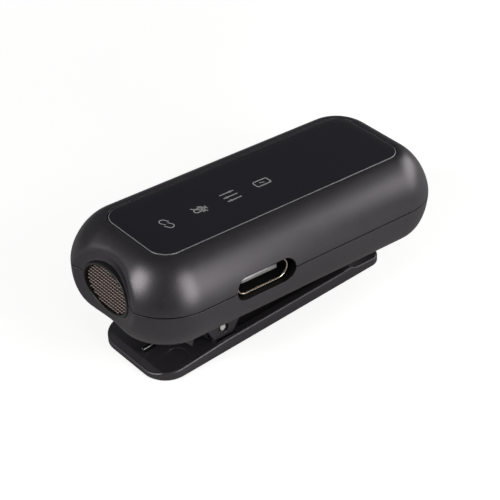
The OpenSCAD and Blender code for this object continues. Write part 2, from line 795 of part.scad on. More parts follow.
module mic_capsule() {
  color(bright_steel) on_hinge() translate([ring_back + boot_lip, 0, mic_h]) rotate([0, 90, 0])
    cylinder(h = capsule_l, r = capsule_r, $fn = round_fn);
}

module tact_switch() {
  front = flange_y - flange_t - nub_l - switch_gap;
  color(bright_steel) on_hinge()
    translate([button_cx, front - switch_d / 2, board_top]) chip([switch_w, switch_d, switch_h]);
}

module power_button() {
  color(dark_grey) on_hinge() translate([button_cx, 0, button_cz]) {
    slot(button_w, button_tall, flange_y - flange_t, button_proud - side_y);
    slot(button_w + 2 * button_flange, button_tall + 2 * button_flange, flange_y - flange_t, flange_y);
    rotate([-90, 0, 0]) translate([0, 0, flange_y - flange_t - nub_l])
      cylinder(h = nub_l + flange_t, r = nub_r, $fn = round_fn);
  }
}

module hinge_pin() {
  color(bright_steel) on_hinge() translate([pin_bx, 0, -pin_depth]) rotate([90, 0, 0])
    translate([0, 0, -pin_l / 2]) cylinder(h = pin_l, r = pin_r, $fn = round_fn);
}

// Jaw whose toothed face lies along the housing's underside
module jaw() {
  reach = 2 * body_h;
  pitch_x = (jaw_l - jaw_end) / jaw_teeth;
  first = placed([0, 0])[0];
  start = (jaw_x0 - first) / cos(pitch);
  teeth = [for (i = [0:jaw_teeth - 1]) each [[start + i * pitch_x, -jaw_gap - tooth_depth],
                                             [start + (i + 0.5) * pitch_x, -jaw_gap]]];
  end = start + jaw_teeth * pitch_x;
  intersection() {
    on_hinge() translate([0, jaw_w / 2, 0]) rotate([90, 0, 0]) linear_extrude(jaw_w)
      polygon(concat([[start, -reach]], teeth, [[end, -jaw_gap - tooth_depth], [end, -reach]]));
    translate([0, -lever_w, floor_t]) cube([lever_l, 2 * lever_w, reach]);
  }
}

module clip_lever() {
  half = lever_l / 2;
  tall = 2 * body_h;
  base = [for (x = [base_x, half]) [x, pin_h + (pin_depth - jaw_base) - (x - hinge_x) * tan(pitch)]];
  color(dark_grey) difference() {
    union() {
      intersection() {
        rounded_block(lever_l, lever_w, press_r, tip_r,
                      [[foot_bevel, 0], [0, foot_bevel], [0, tall]]);
        translate([0, lever_w, 0]) rotate([90, 0, 0]) linear_extrude(2 * lever_w)
          polygon([[-half, 0], [half, 0], base[1], base[0], [jaw_x0, rim_t + hump_h],
                   [jaw_x0 - hump_l, rim_t], [hinge_x, rim_t], [bevel_l - half, press_t],
                   [-half, press_t - bevel_h]]);
      }
      for (side = [-1, 1]) translate([hinge_x, side * (lug_y + lug_t / 2), 0]) {
        translate([0, lug_t / 2, pin_h]) rotate([90, 0, 0])
          cylinder(h = lug_t, r = lug_r, $fn = round_fn);
        translate([-lug_r, -lug_t / 2, press_t / 2]) cube([2 * lug_r, lug_t, pin_h - press_t / 2]);
      }
      jaw();
    }
    translate([tray_x0, rim_w - lever_w / 2, floor_t])
      cube([jaw_x0 - tray_x0, lever_w - 2 * rim_w, tall]);
    translate([hinge_x, lever_w, pin_h]) rotate([90, 0, 0])
      cylinder(h = 2 * lever_w, r = pin_r + pin_play, $fn = round_fn);
    translate([hinge_x, lug_y, pin_h]) rotate([90, 0, 0])
      cylinder(h = 2 * lug_y, r = curl_r + wire_r + well_gap, $fn = round_fn);
    translate([hinge_x, -lug_y, pin_h]) rotate([0, -90 - low_angle, 0])
      translate([-channel_l, 0, -curl_r - wire_r - channel_gap]) cube([channel_l, 2 * lug_y, pin_h]);
    for (side = [-1, 1]) translate([eject_x - half, side * eject_y, press_at(eject_x - half)])
      rotate([0, -atan(rim_slope), 0]) translate([0, 0, -eject_depth])
        cylinder(h = eject_depth + past, r = eject_r, $fn = round_fn);
    for (side = [-1, 1]) translate([hinge_x, side * (ear_y + ear_t / 2), pin_h])
      rotate([90, 0, 0]) translate([0, 0, -ear_t / 2 - lug_gap])
        cylinder(h = ear_t + 2 * lug_gap, r = relief_r, $fn = round_fn);
  }
}

// Angle at which a straight leg that ends at p touches the curls, above (1) or below (-1)
function leg_angle(p, side) = let (dx = p[0] - hinge_x, dz = p[1] - pin_h)
  atan2(dz, dx) - side * acos(curl_r / norm([dx, dz]));
// Smooth step from 0 to 1
function ease(t) = let (u = max(0, min(1, t))) u * u * (3 - 2 * u);
// Points of a leg from its end p to the curls at q: it runs straight next to the curls and
// then bends towards y = -leg_y
function leg(p, q) = let (l = norm([q[0] - p[0], q[2] - p[1]]), n = round(l / wire_step))
  [for (k = [0:n - 1]) let (t = k / n, y = q[1] + (-leg_y - q[1]) * ease((l - t * l - leg_straight)
                                                                       / (l - 2 * leg_straight)))
   [p[0] + (q[0] - p[0]) * t, y, p[1] + (q[2] - p[1]) * t]];

// Spring of round wire: a leg along the lever, the curls round the pin and a leg up to the
// housing's underside, as one unbroken tube of rings
module torsion_spring() {
  n = round(turns * curl_steps);
  turn = [for (i = [0:n]) let (s = i / n, a = low_angle + 360 * turns * s)
          [hinge_x + curl_r * cos(a), coil_half * (1 - 2 * s), pin_h + curl_r * sin(a)]];
  path = concat(leg(low_end, turn[0]), turn, reversed(leg(high_end, turn[n])));
  last = len(path) - 1;
  rings = [for (i = [0:last]) let (d0 = path[min(i + 1, last)] - path[max(i - 1, 0)],
                                   u = [d0[2], 0, -d0[0]] / norm([d0[0], d0[2]]),
                                   v = cross(d0 / norm(d0), u))
           for (k = [0:wire_sides - 1]) let (a = 360 * k / wire_sides)
           path[i] + wire_r * (cos(a) * u + sin(a) * v)];
  sides = [for (i = [0:last - 1], k = [0:wire_sides - 1])
           let (a = i * wire_sides + k, b = i * wire_sides + (k + 1) % wire_sides)
           each [[a, b + wire_sides, b], [a, a + wire_sides, b + wire_sides]]];
  caps = [[for (k = [0:wire_sides - 1]) k], [for (k = [wire_sides - 1:-1:0]) last * wire_sides + k]];
  apart = curl_steps / 2;
  gaps = [for (i = [0:last - apart], j = [i + apart:last]) norm(path[j] - path[i]) - 2 * wire_r];
  echo(least_gap_of_the_wire_to_itself = min(gaps), turns = turns);
  color(bright_steel) polyhedron(points = rings, faces = concat(sides, caps));
}

clip_lever();
torsion_spring();
lower_shell();
upper_shell();
top_panel();
panel_tape();
light_guide();
status_leds();
circuit_board();
board_screws();
rf_shield();
radio_chip();
audio_chip();
charge_chip();
antenna();
battery();
battery_pad();
usb_shell();
usb_tongue();
usb_contacts();
grille_ring();
mic_mesh();
wind_foam();
mic_boot();
mic_capsule();
tact_switch();
power_button();
hinge_pin();
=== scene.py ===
"""Looks of a clip-on wireless lavalier microphone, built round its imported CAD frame.

All shapes are worked out in millimetres. The housing and what it carries are drawn in the
housing's own frame, with z = 0 on its flat underside and the microphone at -X, and are then
set on the hinge; the clip lever, pin and spring are drawn in the part's frame.
"""

import json
import math
from types import SimpleNamespace

import bmesh
import bpy
import numpy as np
from bpy.props import FloatProperty, FloatVectorProperty, IntProperty, PointerProperty
from mathutils import Matrix, Vector


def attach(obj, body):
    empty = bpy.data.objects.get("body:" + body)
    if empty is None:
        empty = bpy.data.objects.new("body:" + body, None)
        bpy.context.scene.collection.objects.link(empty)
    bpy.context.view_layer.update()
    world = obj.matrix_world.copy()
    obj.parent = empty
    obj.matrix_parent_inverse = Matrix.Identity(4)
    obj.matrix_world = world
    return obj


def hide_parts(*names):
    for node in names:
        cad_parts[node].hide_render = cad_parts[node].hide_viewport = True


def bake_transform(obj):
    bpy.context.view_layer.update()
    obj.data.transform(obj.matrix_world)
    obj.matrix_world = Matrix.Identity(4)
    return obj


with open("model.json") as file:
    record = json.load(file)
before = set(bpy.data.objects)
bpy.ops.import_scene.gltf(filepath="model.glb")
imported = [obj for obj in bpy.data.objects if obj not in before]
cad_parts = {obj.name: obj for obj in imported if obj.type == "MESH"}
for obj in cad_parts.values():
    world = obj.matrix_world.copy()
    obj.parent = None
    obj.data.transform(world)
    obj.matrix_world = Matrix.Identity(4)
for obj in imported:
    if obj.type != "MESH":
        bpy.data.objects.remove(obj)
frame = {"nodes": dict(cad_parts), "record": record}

bl_info = {
    "name": "Lavalier microphone",
    "version": (1, 0, 0),
    "blender": (4, 5, 0),
    "location": "View3D > Sidebar > Microphone",
    "description": "Builds the looks of a clip-on wireless lavalier microphone",
    "category": "Add Mesh",
}

# A millimetre in metres
MM = 0.001
# Points this near each other, in millimetres, are taken for one. The shift keeps plain sizes
# off the places where the rounding turns over.
MERGE, MERGE_SHIFT = 1e-4, 0.137


# Sizes and colours


def length(name, default, description):
    """Property for a length, given here in millimetres and kept in metres."""
    return FloatProperty(
        name=name, description=description, default=default * MM, unit="LENGTH", precision=6
    )


def angle(name, default, description):
    """Property for an angle, given here in degrees."""
    return FloatProperty(
        name=name, description=description, default=math.radians(default), unit="ROTATION"
    )


def number(name, default, description):
    """Property for a plain number."""
    return FloatProperty(name=name, description=description, default=default)


def colour(name, default, description):
    """Property for a linear RGB colour."""
    return FloatVectorProperty(
        name=name, description=description, default=default, subtype="COLOR", size=3, min=0, max=1
    )


class HousingSettings(bpy.types.PropertyGroup):
    """Sizes and colour of the two shells"""

    long: length("Length", 54, "Length of the housing")
    wide: length("Width", 23.8, "Width of the housing")
    tall: length("Height", 12.4, "Height of the housing")
    corner: length("Corner radius", 8, "Radius of the corners, seen from above")
    parting: length("Parting height", 5.95, "Height of the line where the shells meet")
    top_draw: length("Top draw-in", 4.7, "Draw-in from the parting line to the flat top")
    low_draw: length("Bottom draw-in", 2.9, "Draw-in from the parting line to the underside")
    top_bulge: number("Top bulge", 1.6, "1 is a straight side, 2 a quarter ellipse")
    low_bulge: number("Bottom bulge", 2.1, "1 is a straight side, 2 a quarter ellipse")
    wall: length("Wall", 1.2, "Wall of the shells")
    roof: length("Roof", 1, "Thickness of the roof under the panel")
    seam: length("Seam", 0.12, "Height of the shadow gap at the parting line")
    edge: length("Edge rounding", 0.06, "Radius along the shells' moulded edges")
    tint: colour("Plastic", (0.0118, 0.0106, 0.0128), "Colour of the satin case plastic")
    roughness: number("Roughness", 0.37, "Roughness of the case plastic")


class PanelSettings(bpy.types.PropertyGroup):
    """Sizes and colours of the glossy panel and its pictograms"""

    thick: length("Thickness", 1, "Thickness of the panel")
    tape: length("Tape", 0.15, "Thickness of the adhesive under the panel")
    bevel: length("Edge height", 0.18, "Height of the rounded upper edge")
    bevel_wide: length("Edge width", 0.16, "Width of the rounded upper edge")
    gap: length("Gap", 0.15, "Gap between the panel and its recess")
    rim: length("Rim", 0.3, "Flat rim outside the recess")
    pitch: length("Pictogram spacing", 5.57, "Distance between neighbouring pictograms")
    windows: IntProperty(name="Pictograms", description="Number of pictograms", default=4, max=4)
    window_wide: length("Window width", 2.4, "Width of a window in the roof")
    window_deep: length("Window depth", 3, "Depth of a window in the roof")
    line: length("Line width", 0.17, "Width of the pictograms' lines")
    print_thick: length("Print thickness", 0.015, "Thickness of the printed lines")
    across: length("Pictogram offset", -0.5, "Place of the pictograms across the panel")
    tint: colour("Panel", (0.0112, 0.0112, 0.0158), "Colour of the panel")
    # Light grey of the bevel's upper part: a painted highlight along the panel's edge
    edge_tint: colour("Bevel", (0.2, 0.2, 0.205), "Colour of the cut bevel")
    mark_tint: colour("Pictograms", (0.36, 0.36, 0.37), "Colour of the printed pictograms")


class MicSettings(bpy.types.PropertyGroup):
    """Sizes and colours of the microphone's end"""

    axis: length("Axis height", 5.6, "Height of the microphone's axis")
    wide: length("Hole width", 10, "Width of the hole")
    tall: length("Hole height", 7.1, "Height of the hole")
    dish: length("Dish width", 2.2, "Width of the dished surround")
    dish_deep: length("Dish depth", 0.95, "Depth of the dish below the housing's end")
    ring_deep: length("Ring setback", 0.9, "How far the ring's lip lies inside the housing's end")
    ring_lip: length("Ring lip", 0.42, "Width of the trim ring's front lip")
    ring_wall: length("Ring wall", 0.35, "Wall of the trim ring behind its lip")
    ring_long: length("Ring length", 1.55, "Length of the trim ring")
    lip_deep: length("Lip depth", 0.6, "Thickness of the trim ring's front lip")
    mesh_deep: length("Mesh depth", 0.25, "Depth of the woven mesh")
    pitch: length("Wire spacing", 0.485, "Distance between neighbouring upright wires")
    pitch_up: length("Row spacing", 0.54, "Distance between neighbouring level wires")
    wire: length("Wire radius", 0.1, "Radius of a wire")
    wave: length("Wire wave", 0.05, "Height of the level wires' knuckles")
    ring_bow: length("Ring bow", 0.35, "Set-back of the ring's lip at its top and bottom")
    mesh_tint: colour("Mesh", (0.22, 0.182, 0.17), "Colour of the wires")
    foam_tint: colour("Foam", (0.035, 0.024, 0.018), "Colour of the foam behind the mesh")
    trim_tint: colour("Trim", (0.012, 0.012, 0.013), "Colour of the trim ring and button")


class PortSettings(bpy.types.PropertyGroup):
    """Sizes and colours of the charging port and the button"""

    along: length("Place", 18.9, "Distance of the port's centre from the microphone end")
    high: length("Height", 6.1, "Height of the port's centre")
    wide: length("Width", 8.94, "Width of the metal shell")
    tall: length("Thickness", 3.26, "Thickness of the metal shell")
    deep: length("Depth", 7.35, "Length of the metal shell")
    sheet: length("Sheet", 0.3, "Sheet thickness of the metal shell")
    # The metal shell's inner wall behind this depth is painted near-black as shade
    lined: length("Bare edge", 0.25, "Depth behind which the metal shell is lined in black")
    inside: length("Setback", 0.95, "How far the port lies inside the housing's side")
    slot_wide: length("Slot width", 10.2, "Width of the opening in the housing")
    slot_tall: length("Slot height", 3.5, "Height of the opening in the housing")
    tongue_wide: length("Tongue width", 6.69, "Width of the tongue")
    tongue_thick: length("Tongue thickness", 0.7, "Thickness of the tongue")
    tongue_in: length("Tongue setback", 0.75, "How far the tongue lies inside the mouth")
    block: length("Block", 2.1, "Length of the plastic block at the back of the port")
    contacts: IntProperty(name="Contacts", description="Contacts on each face", default=12)
    contact_pitch: length("Contact spacing", 0.5, "Spacing of the contacts")
    contact_wide: length("Contact width", 0.25, "Width of a contact")
    button_along: length("Button place", 19, "Distance of the button from the microphone end")
    button_wide: length("Button width", 8, "Width of the button")
    button_tall: length("Button height", 2.6, "Height of the button")
    button_proud: length("Button height above the side", 0.35, "How far the button stands out")
    button_play: length("Button clearance", 0.06, "Clearance round the button")
    flange: length("Button flange", 0.6, "Width of the flange that keeps the button in")
    switch: length("Switch height", 2.8, "Height of the push switch behind the button")
    shell_tint: colour("Port metal", (0.62, 0.55, 0.46), "Colour of the plated shell")
    nose_tint: colour("Tongue edge", (0.62, 0.62, 0.64), "Colour of the tongue's plated edge")
    cuts: length("Cuts", 0.22, "Distance between the cuts across the tongue's edge")


class ClipSettings(bpy.types.PropertyGroup):
    """Sizes and colour of the clip lever"""

    long: length("Length", 41.3, "Length of the lever")
    wide: length("Width", 14.8, "Width of the lever")
    press_corner: length("Press corner", 3.8, "Corner radius at the press end")
    tip_corner: length("Tip corner", 2.3, "Corner radius at the jaw end")
    press: length("Press thickness", 1.5, "Thickness at the press end")
    bevel_long: length("Thumb bevel length", 1.2, "Length of the thumb bevel")
    bevel_drop: length("Thumb bevel drop", 0.5, "Drop of the thumb bevel")
    rim: length("Rim height", 2.15, "Height of the rim from the hinge to the jaw")
    hump: length("Hump", 0.15, "Rise of the rim's hump in front of the jaw")
    hump_long: length("Hump length", 1.7, "Length of the hump's rise")
    hump_fall: length("Hump fall", 0.85, "Length of the hump's fall into the jaw")
    rim_wide: length("Rim width", 1.2, "Width of the rim")
    floor: length("Floor", 1.2, "Thickness of the floor between the rims")
    foot: length("Foot bevel", 0.3, "Bevel along the lower edge")
    round: length("Top rounding", 0.3, "Rounding along the upper edge")
    jaw_long: length("Jaw length", 6.6, "Length of the jaw")
    jaw_wide: length("Jaw width", 11.2, "Width of the jaw")
    jaw_gap: length("Jaw gap", 0.15, "Gap between the closed jaw and the housing")
    teeth: IntProperty(name="Teeth", description="Number of grip teeth", default=5)
    tooth: length("Tooth depth", 0.5, "Depth of a grip tooth")
    jaw_end: length("Jaw end", 0.75, "Plain length between the last tooth and the tip")
    jaw_base: length("Jaw base", 3.54, "Height of the jaw's base below the housing")
    tray_gap: length("Tray gap", 1, "Distance between the lugs and the tray")
    mark: length("Ejector mark", 1.6, "Radius of the two ejector marks")
    mark_deep: length("Ejector mark depth", 0.08, "Depth of the ejector marks")
    mark_along: length("Ejector mark place", 4.65, "Distance of the marks from the press end")
    mark_across: length("Ejector mark offset", 4.8, "Distance of the marks from the middle")
    draft: length("Draft", 0.04, "Lean of the tray's walls")
    tint: colour("Plastic", (0.0145, 0.0132, 0.0152), "Colour of the clip plastic")


class HingeSettings(bpy.types.PropertyGroup):
    """Sizes of the hinge, its pin and the spring"""

    along: length("Place on the lever", 11.6, "Distance of the pin from the press end")
    high: length("Pin height", 3.75, "Height of the pin above the lever's underside")
    from_end: length("Place on the housing", 15.95, "Distance of the pin from the housing's end")
    deep: length("Pin depth", 3.65, "Depth of the pin below the housing")
    pitch: angle("Pitch", 4.9, "Pitch of the closed housing over the lever")
    opens: angle("Opening", 18, "Angle by which the clip opens")
    pin: length("Pin radius", 0.7, "Radius of the pin")
    stem: length("Stem radius", 0.47, "Radius of the stems on the pin's ends")
    stem_long: length("Stem length", 0.5, "Length of the stems on the pin's ends")
    pin_play: length("Lug clearance", 0.04, "Running clearance of the lever on the pin")
    ear_play: length("Ear clearance", 0.02, "Clearance of the pin in the ears")
    pin_in: length("Pin setback", 0.15, "How far the pin's ends lie inside the ears")
    ears: length("Ears' width", 13.2, "Distance between the ears' outer faces")
    ear_thick: length("Ear thickness", 1.05, "Thickness of an ear")
    ear_top: length("Ear top", 4.6, "Half width of an ear where it leaves the housing")
    ear_foot: length("Ear foot", 1.65, "Half width of an ear at its foot")
    ear_deep: length("Ear depth", 5.1, "Depth of an ear below the housing")
    recess: length("Recess", 0.15, "Extra radius of the recess round the pin's end")
    recess_deep: length("Recess depth", 0.35, "Depth of the recess round the pin's end")
    stop_along: length("Stop place", 5.45, "Distance of the stop tooth's point from the pin")
    stop_gap: length("Stop gap", 0.1, "Gap at the stop tooth when the clip is open")
    lug_thick: length("Lug thickness", 1, "Thickness of a lever lug")
    lug_gap: length("Lug gap", 0.25, "Gap between a lug and its ear")
    lug: length("Lug radius", 1.9, "Radius of a lug round the pin")
    relief_gap: length("Relief", 0.25, "Running gap between the ears and the lever")
    wire: length("Wire radius", 0.35, "Radius of the spring wire")
    curls: IntProperty(name="Curls", description="Whole curls round the pin", default=5)
    curl_play: length("Curl clearance", 0.25, "Clearance between the curls and the pin")
    curl_gap: length("Curl gap", 0.5, "Gap between neighbouring curls")
    lever_leg: length("Lever leg", 9.9, "Reach of the leg that presses on the lever")
    body_leg: length("Housing leg", 6.6, "Reach of the leg that presses on the housing")
    leg_across: length("Legs' place", 0.9, "Place of the legs' ends, towards the port's side")
    leg_straight: length("Straight leg", 1.3, "Straight length of a leg next to the curls")
    channel: length("Channel", 5, "Length of the channel under the lever's leg")
    channel_gap: length("Channel gap", 0.04, "Gap between the leg and the channel's floor")
    well_gap: length("Well gap", 0.25, "Gap between the curls and the well in the lever")
    leg_gap: length("Leg gap", 0.06, "Gap between a leg and what it presses on")


class PadSettings(bpy.types.PropertyGroup):
    """Sizes of the foam pad under the battery"""

    corner: length("Corner", 1.5, "Corner radius of the pad")
    edge: length("Edge", 0.25, "Reach of the pad's round edges")
    draw: length("Draw-in", 0.35, "How far the pad's sides draw in between their corners")
    crown: length("Crown", 0.01, "How far the faces sink outside the part that is pressed")


class StageSettings(bpy.types.PropertyGroup):
    """Floor, lamps and camera"""

    azimuth: angle("Azimuth", -38.765, "Camera's turn round the part; 0 looks along +Y")
    elevation: angle("Elevation", 37.643, "Camera's height above the horizon")
    roll: angle("Roll", -2.623, "Camera's roll")
    distance: length("Distance", 220.08, "Distance of the camera from its target")
    target: FloatVectorProperty(
        name="Target",
        description="Point that the camera looks at",
        default=(-0.001345, -0.003532, 0.011432),
        subtype="TRANSLATION",
        unit="LENGTH",
        precision=6,
    )
    lens: number("Lens", 115.2, "Focal length in millimetres, on a 36 mm sensor")
    floor_tint: colour("Floor", (0.45, 0.45, 0.45), "Colour of the floor")
    sky: number("Sky", 0.115, "Strength of the room's light")


GROUPS = {
    "housing": HousingSettings,
    "panel": PanelSettings,
    "mic": MicSettings,
    "port": PortSettings,
    "clip": ClipSettings,
    "hinge": HingeSettings,
    "pad": PadSettings,
    "stage": StageSettings,
}


def sizes(*names):
    """The named groups' values as plain numbers, lengths in millimetres."""
    read = []
    for name in names:
        group = getattr(bpy.context.scene, "lavalier_" + name)
        values = {}
        for prop in group.bl_rna.properties:
            if prop.identifier in ("rna_type", "name"):
                continue
            value = getattr(group, prop.identifier)
            if prop.type == "FLOAT" and prop.is_array:
                value = tuple(value)
            elif prop.type == "FLOAT":
                value = round(value / MM, 6) if prop.unit == "LENGTH" else round(value, 7)
            values[prop.identifier] = value
        read.append(SimpleNamespace(**values))
    return read[0] if len(read) == 1 else read


# Solids, as arrays of points in millimetres


def coords(*parts):
    """Points with the given coordinates, which are stretched to a common shape."""
    return np.stack(np.broadcast_arrays(*parts), axis=-1)


def ways(angles):
    """Unit directions at the angles: (cos a, sin a)."""
    return coords(np.cos(angles), np.sin(angles))


def at_level(plan, z):
    """Points of a plan at one height."""
    return coords(plan[..., 0], plan[..., 1], z)


def upright(section, y):
    """Points of a section in the xz plane at one y."""
    return coords(section[..., 0], y, section[..., 1])


def quads(index):
    """Quads between neighbouring rows and columns of an array of point numbers."""
    return np.stack([index[:-1, :-1], index[:-1, 1:], index[1:, 1:], index[1:, :-1]], axis=-1)


def merged(points, faces, shades):
    """Joins points that agree within MERGE and drops the corners that a face then repeats."""
    keys = np.round(points / MERGE + MERGE_SHIFT).astype(np.int64)
    _, first, index = np.unique(keys, axis=0, return_index=True, return_inverse=True)
    index = index.ravel()
    kept = [(tuple(dict.fromkeys(index[list(face)].tolist())), shade)
            for face, shade in zip(faces, shades)]
    kept = [(face, shade) for face, shade in kept if len(face) > 2]
    return points[first], [face for face, _ in kept], [shade for _, shade in kept]


class Sheet:
    """A surface of quads with one array of points for each layer of a wall, outer layer first."""

    def __init__(self):
        self.layers, self.faces, self.count = [], [], 0

    def add(self, *layers, keep=None):
        """Adds a grid with the same rows and columns in each layer. keep masks its quads."""
        rows, columns = layers[0].shape[:2]
        index = np.arange(rows * columns).reshape(rows, columns) + self.count
        made = quads(index)
        self.faces.append(made[keep] if keep is not None else made.reshape(-1, 4))
        self.layers.append(np.concatenate([layer.reshape(-1, 3) for layer in layers], axis=1))
        self.count += rows * columns

    def solid(self, rest=0):
        """Closes the sheet: the outer layer, the inner one turned over, and strips through all
        layers along each edge that only one quad has. rest shades all but the outer layer."""
        points = np.concatenate(self.layers)
        width = points.shape[1] // 3
        faces = np.concatenate(self.faces).tolist()
        points, faces, _ = merged(points, faces, [0] * len(faces))
        count = len(points)
        edges = np.array([(a, b) for f in faces for a, b in zip(f, f[1:] + f[:1])])
        _, first, times = np.unique(
            np.sort(edges, axis=1), axis=0, return_index=True, return_counts=True
        )
        free = edges[first[times == 1]]
        last = (width - 1) * count
        made = faces + [tuple(i + last for i in f[::-1]) for f in faces]
        for k in range(width - 1):
            a, b = free.T + k * count
            made += np.stack([b, a, a + count, b + count], axis=1).tolist()
        shades = [0] * len(faces) + [rest] * (len(made) - len(faces))
        stacked = np.concatenate([points[:, 3 * k : 3 * k + 3] for k in range(width)])
        return stacked, made, shades


def grid(points, wrap_rows=False, shade=0):
    """Solid whose quads join neighbouring rows of an array of points, each row closed round.
    Without wrap_rows, its first and last row are closed by one face each."""
    rows, columns = points.shape[:2]
    index = np.arange(rows * columns).reshape(rows, columns)
    around = np.hstack([index, index[:, :1]])
    around = np.vstack([around, around[:1]]) if wrap_rows else around
    faces = quads(around).reshape(-1, 4).tolist()
    if not wrap_rows:
        faces += [index[0, ::-1].tolist(), index[-1].tolist()]
    return points.reshape(-1, 3), faces, [shade] * len(faces)


def joined(*solids):
    """Several solids as the parts of one."""
    points, faces, shades, count = [], [], [], 0
    for p, f, s in solids:
        points.append(p)
        faces += [tuple(i + count for i in face) for face in f]
        shades += list(s)
        count += len(p)
    return np.concatenate(points), faces, shades


def mirrored(solid):
    """The solid reflected across the y = 0 plane, its faces turned round again."""
    points, faces, shades = solid
    return points * [1, -1, 1], [tuple(face[::-1]) for face in faces], shades


def placed(points):
    """Points of the housing's frame in the part's frame: turned by the pitch about the pin."""
    h, g = sizes("housing", "hinge")
    lever = sizes("clip")
    dx, dz = points[..., 0] + h.long / 2 - g.from_end, points[..., 2] + g.deep
    c, s = math.cos(g.pitch), math.sin(g.pitch)
    x = g.along - lever.long / 2 + dx * c + dz * s
    return coords(x, points[..., 1], g.high - dx * s + dz * c)


# Steps in which a piece's sharp edges are rounded
EDGE_SEGMENTS = 2


def piece(name, solid, node, *finishes, body="housing", slot=None, bevel=0, smooth=35,
          twist=None):
    """Makes an object from a solid: joins equal points, turns all faces outwards, and gives it its
    finishes and body. It takes the place of the node, if any. slot is not used. What the clip
    doesn't carry is set on the hinge.
    Edges sharper than smooth degrees stay sharp, or are rounded by bevel. twist holds two heights,
    which are not used: a piece given it is baked in place and set on no body."""
    points, faces, shades = solid
    if body != "clip":
        points = placed(points)
    mesh = bpy.data.meshes.new(name)
    mesh.from_pydata((points * MM).tolist(), [], [tuple(f) for f in faces])
    mesh.polygons.foreach_set("material_index", shades)
    work = bmesh.new()
    work.from_mesh(mesh)
    bmesh.ops.remove_doubles(work, verts=work.verts, dist=MERGE * MM)
    loose = [v for v in work.verts if not v.link_faces]
    bmesh.ops.delete(work, geom=loose, context="VERTS")
    bmesh.ops.recalc_face_normals(work, faces=work.faces)
    work.to_mesh(mesh)
    work.free()
    mesh.shade_smooth()
    made = bpy.data.objects.new(name, mesh)
    bpy.context.scene.collection.objects.link(made)
    for look in finishes:
        mesh.materials.append(finish(look))
    if bevel:
        rounding = made.modifiers.new("Edges", "BEVEL")
        rounding.width, rounding.segments = bevel * MM, EDGE_SEGMENTS
        rounding.limit_method, rounding.angle_limit = "ANGLE", math.radians(smooth)
        rounding.use_clamp_overlap = False
        rounding.harden_normals = True
    else:
        mesh.set_sharp_from_angle(angle=math.radians(smooth))
    if twist:
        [(0, 0, height * MM) for height in twist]
        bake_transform(made)
    else:
        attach(made, body)
    if node:
        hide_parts(node)
    return made


def turn(n, start=0.0, end=360.0, closed=True):
    """n angles in radians from start to end; a closed turn leaves its last one out."""
    return np.radians(np.linspace(start, end, n, endpoint=not closed))


def resampled(path, counts, share):
    """Points along a polyline: counts[0] steps over its first share, counts[1] over the middle
    and counts[2] over the last share, evenly by length in each."""
    steps = np.concatenate([[0], np.cumsum(np.linalg.norm(np.diff(path, axis=0), axis=1))])
    a, b, c = counts
    at = np.concatenate([
        np.linspace(0, share, a + 1)[:-1], np.linspace(share, 1 - share, b + 1)[:-1],
        np.linspace(1 - share, 1, c + 1)])
    return coords(*(np.interp(at * steps[-1], steps, line) for line in path.T))


def stadium(wide, tall, n):
    """Closed loop of a slot with round ends: n points on each half circle, then the straights."""
    r, s = tall / 2, (wide - tall) / 2
    a = turn(n, -90, 90, closed=False)
    right = coords(s + r * np.cos(a), r * np.sin(a))
    top = coords(np.linspace(s, -s, n)[1:-1], r)
    return np.concatenate([right, top, -right, -top])


def swept(path, radius, side, sides):
    """Tube round a path, or round many paths of equal length: at each point a circle of so many
    sides, in the plane of the side direction and of the path's direction crossed with it."""
    along = np.gradient(path, axis=-2)
    along /= np.linalg.norm(along, axis=-1, keepdims=True)
    u = np.broadcast_to(side, path.shape)
    u = u - (u * along).sum(-1, keepdims=True) * along
    u /= np.linalg.norm(u, axis=-1, keepdims=True)
    v = np.cross(along, u)
    a = turn(sides)[:, None]
    return path[..., None, :] + radius * (np.cos(a) * u[..., None, :] + np.sin(a) * v[..., None, :])


# Finishes


class Value:
    """A socket that carries a number. An expression on values adds the Math nodes that it needs."""

    def __init__(self, finish, socket):
        self.finish, self.socket = finish, socket

    def math(self, operation, *others):
        """The result of a Math node on this value and others."""
        inputs = dict(enumerate((self, *others)))
        node = self.finish.node("ShaderNodeMath", inputs, operation=operation)
        return Value(self.finish, node.outputs[0])

    def __add__(self, other):
        return self.math("ADD", other)

    __radd__ = __add__

    def __mul__(self, other):
        return self.math("MULTIPLY", other)

    __rmul__ = __mul__

    def __sub__(self, other):
        return self.math("SUBTRACT", other)

    def __rsub__(self, other):
        return self.math("MULTIPLY_ADD", -1.0, other)

    def above(self, low, high):
        """Smooth step from 0 at low to 1 at high."""
        inputs = {"Value": self, "From Min": low, "From Max": high}
        node = self.finish.node("ShaderNodeMapRange", inputs, interpolation_type="SMOOTHSTEP")
        return Value(self.finish, node.outputs["Result"])


def socket_name(key):
    """Name of a shader's socket, from a keyword such as base_color."""
    return key.replace("_", " ").title().replace("Ior", "IOR")


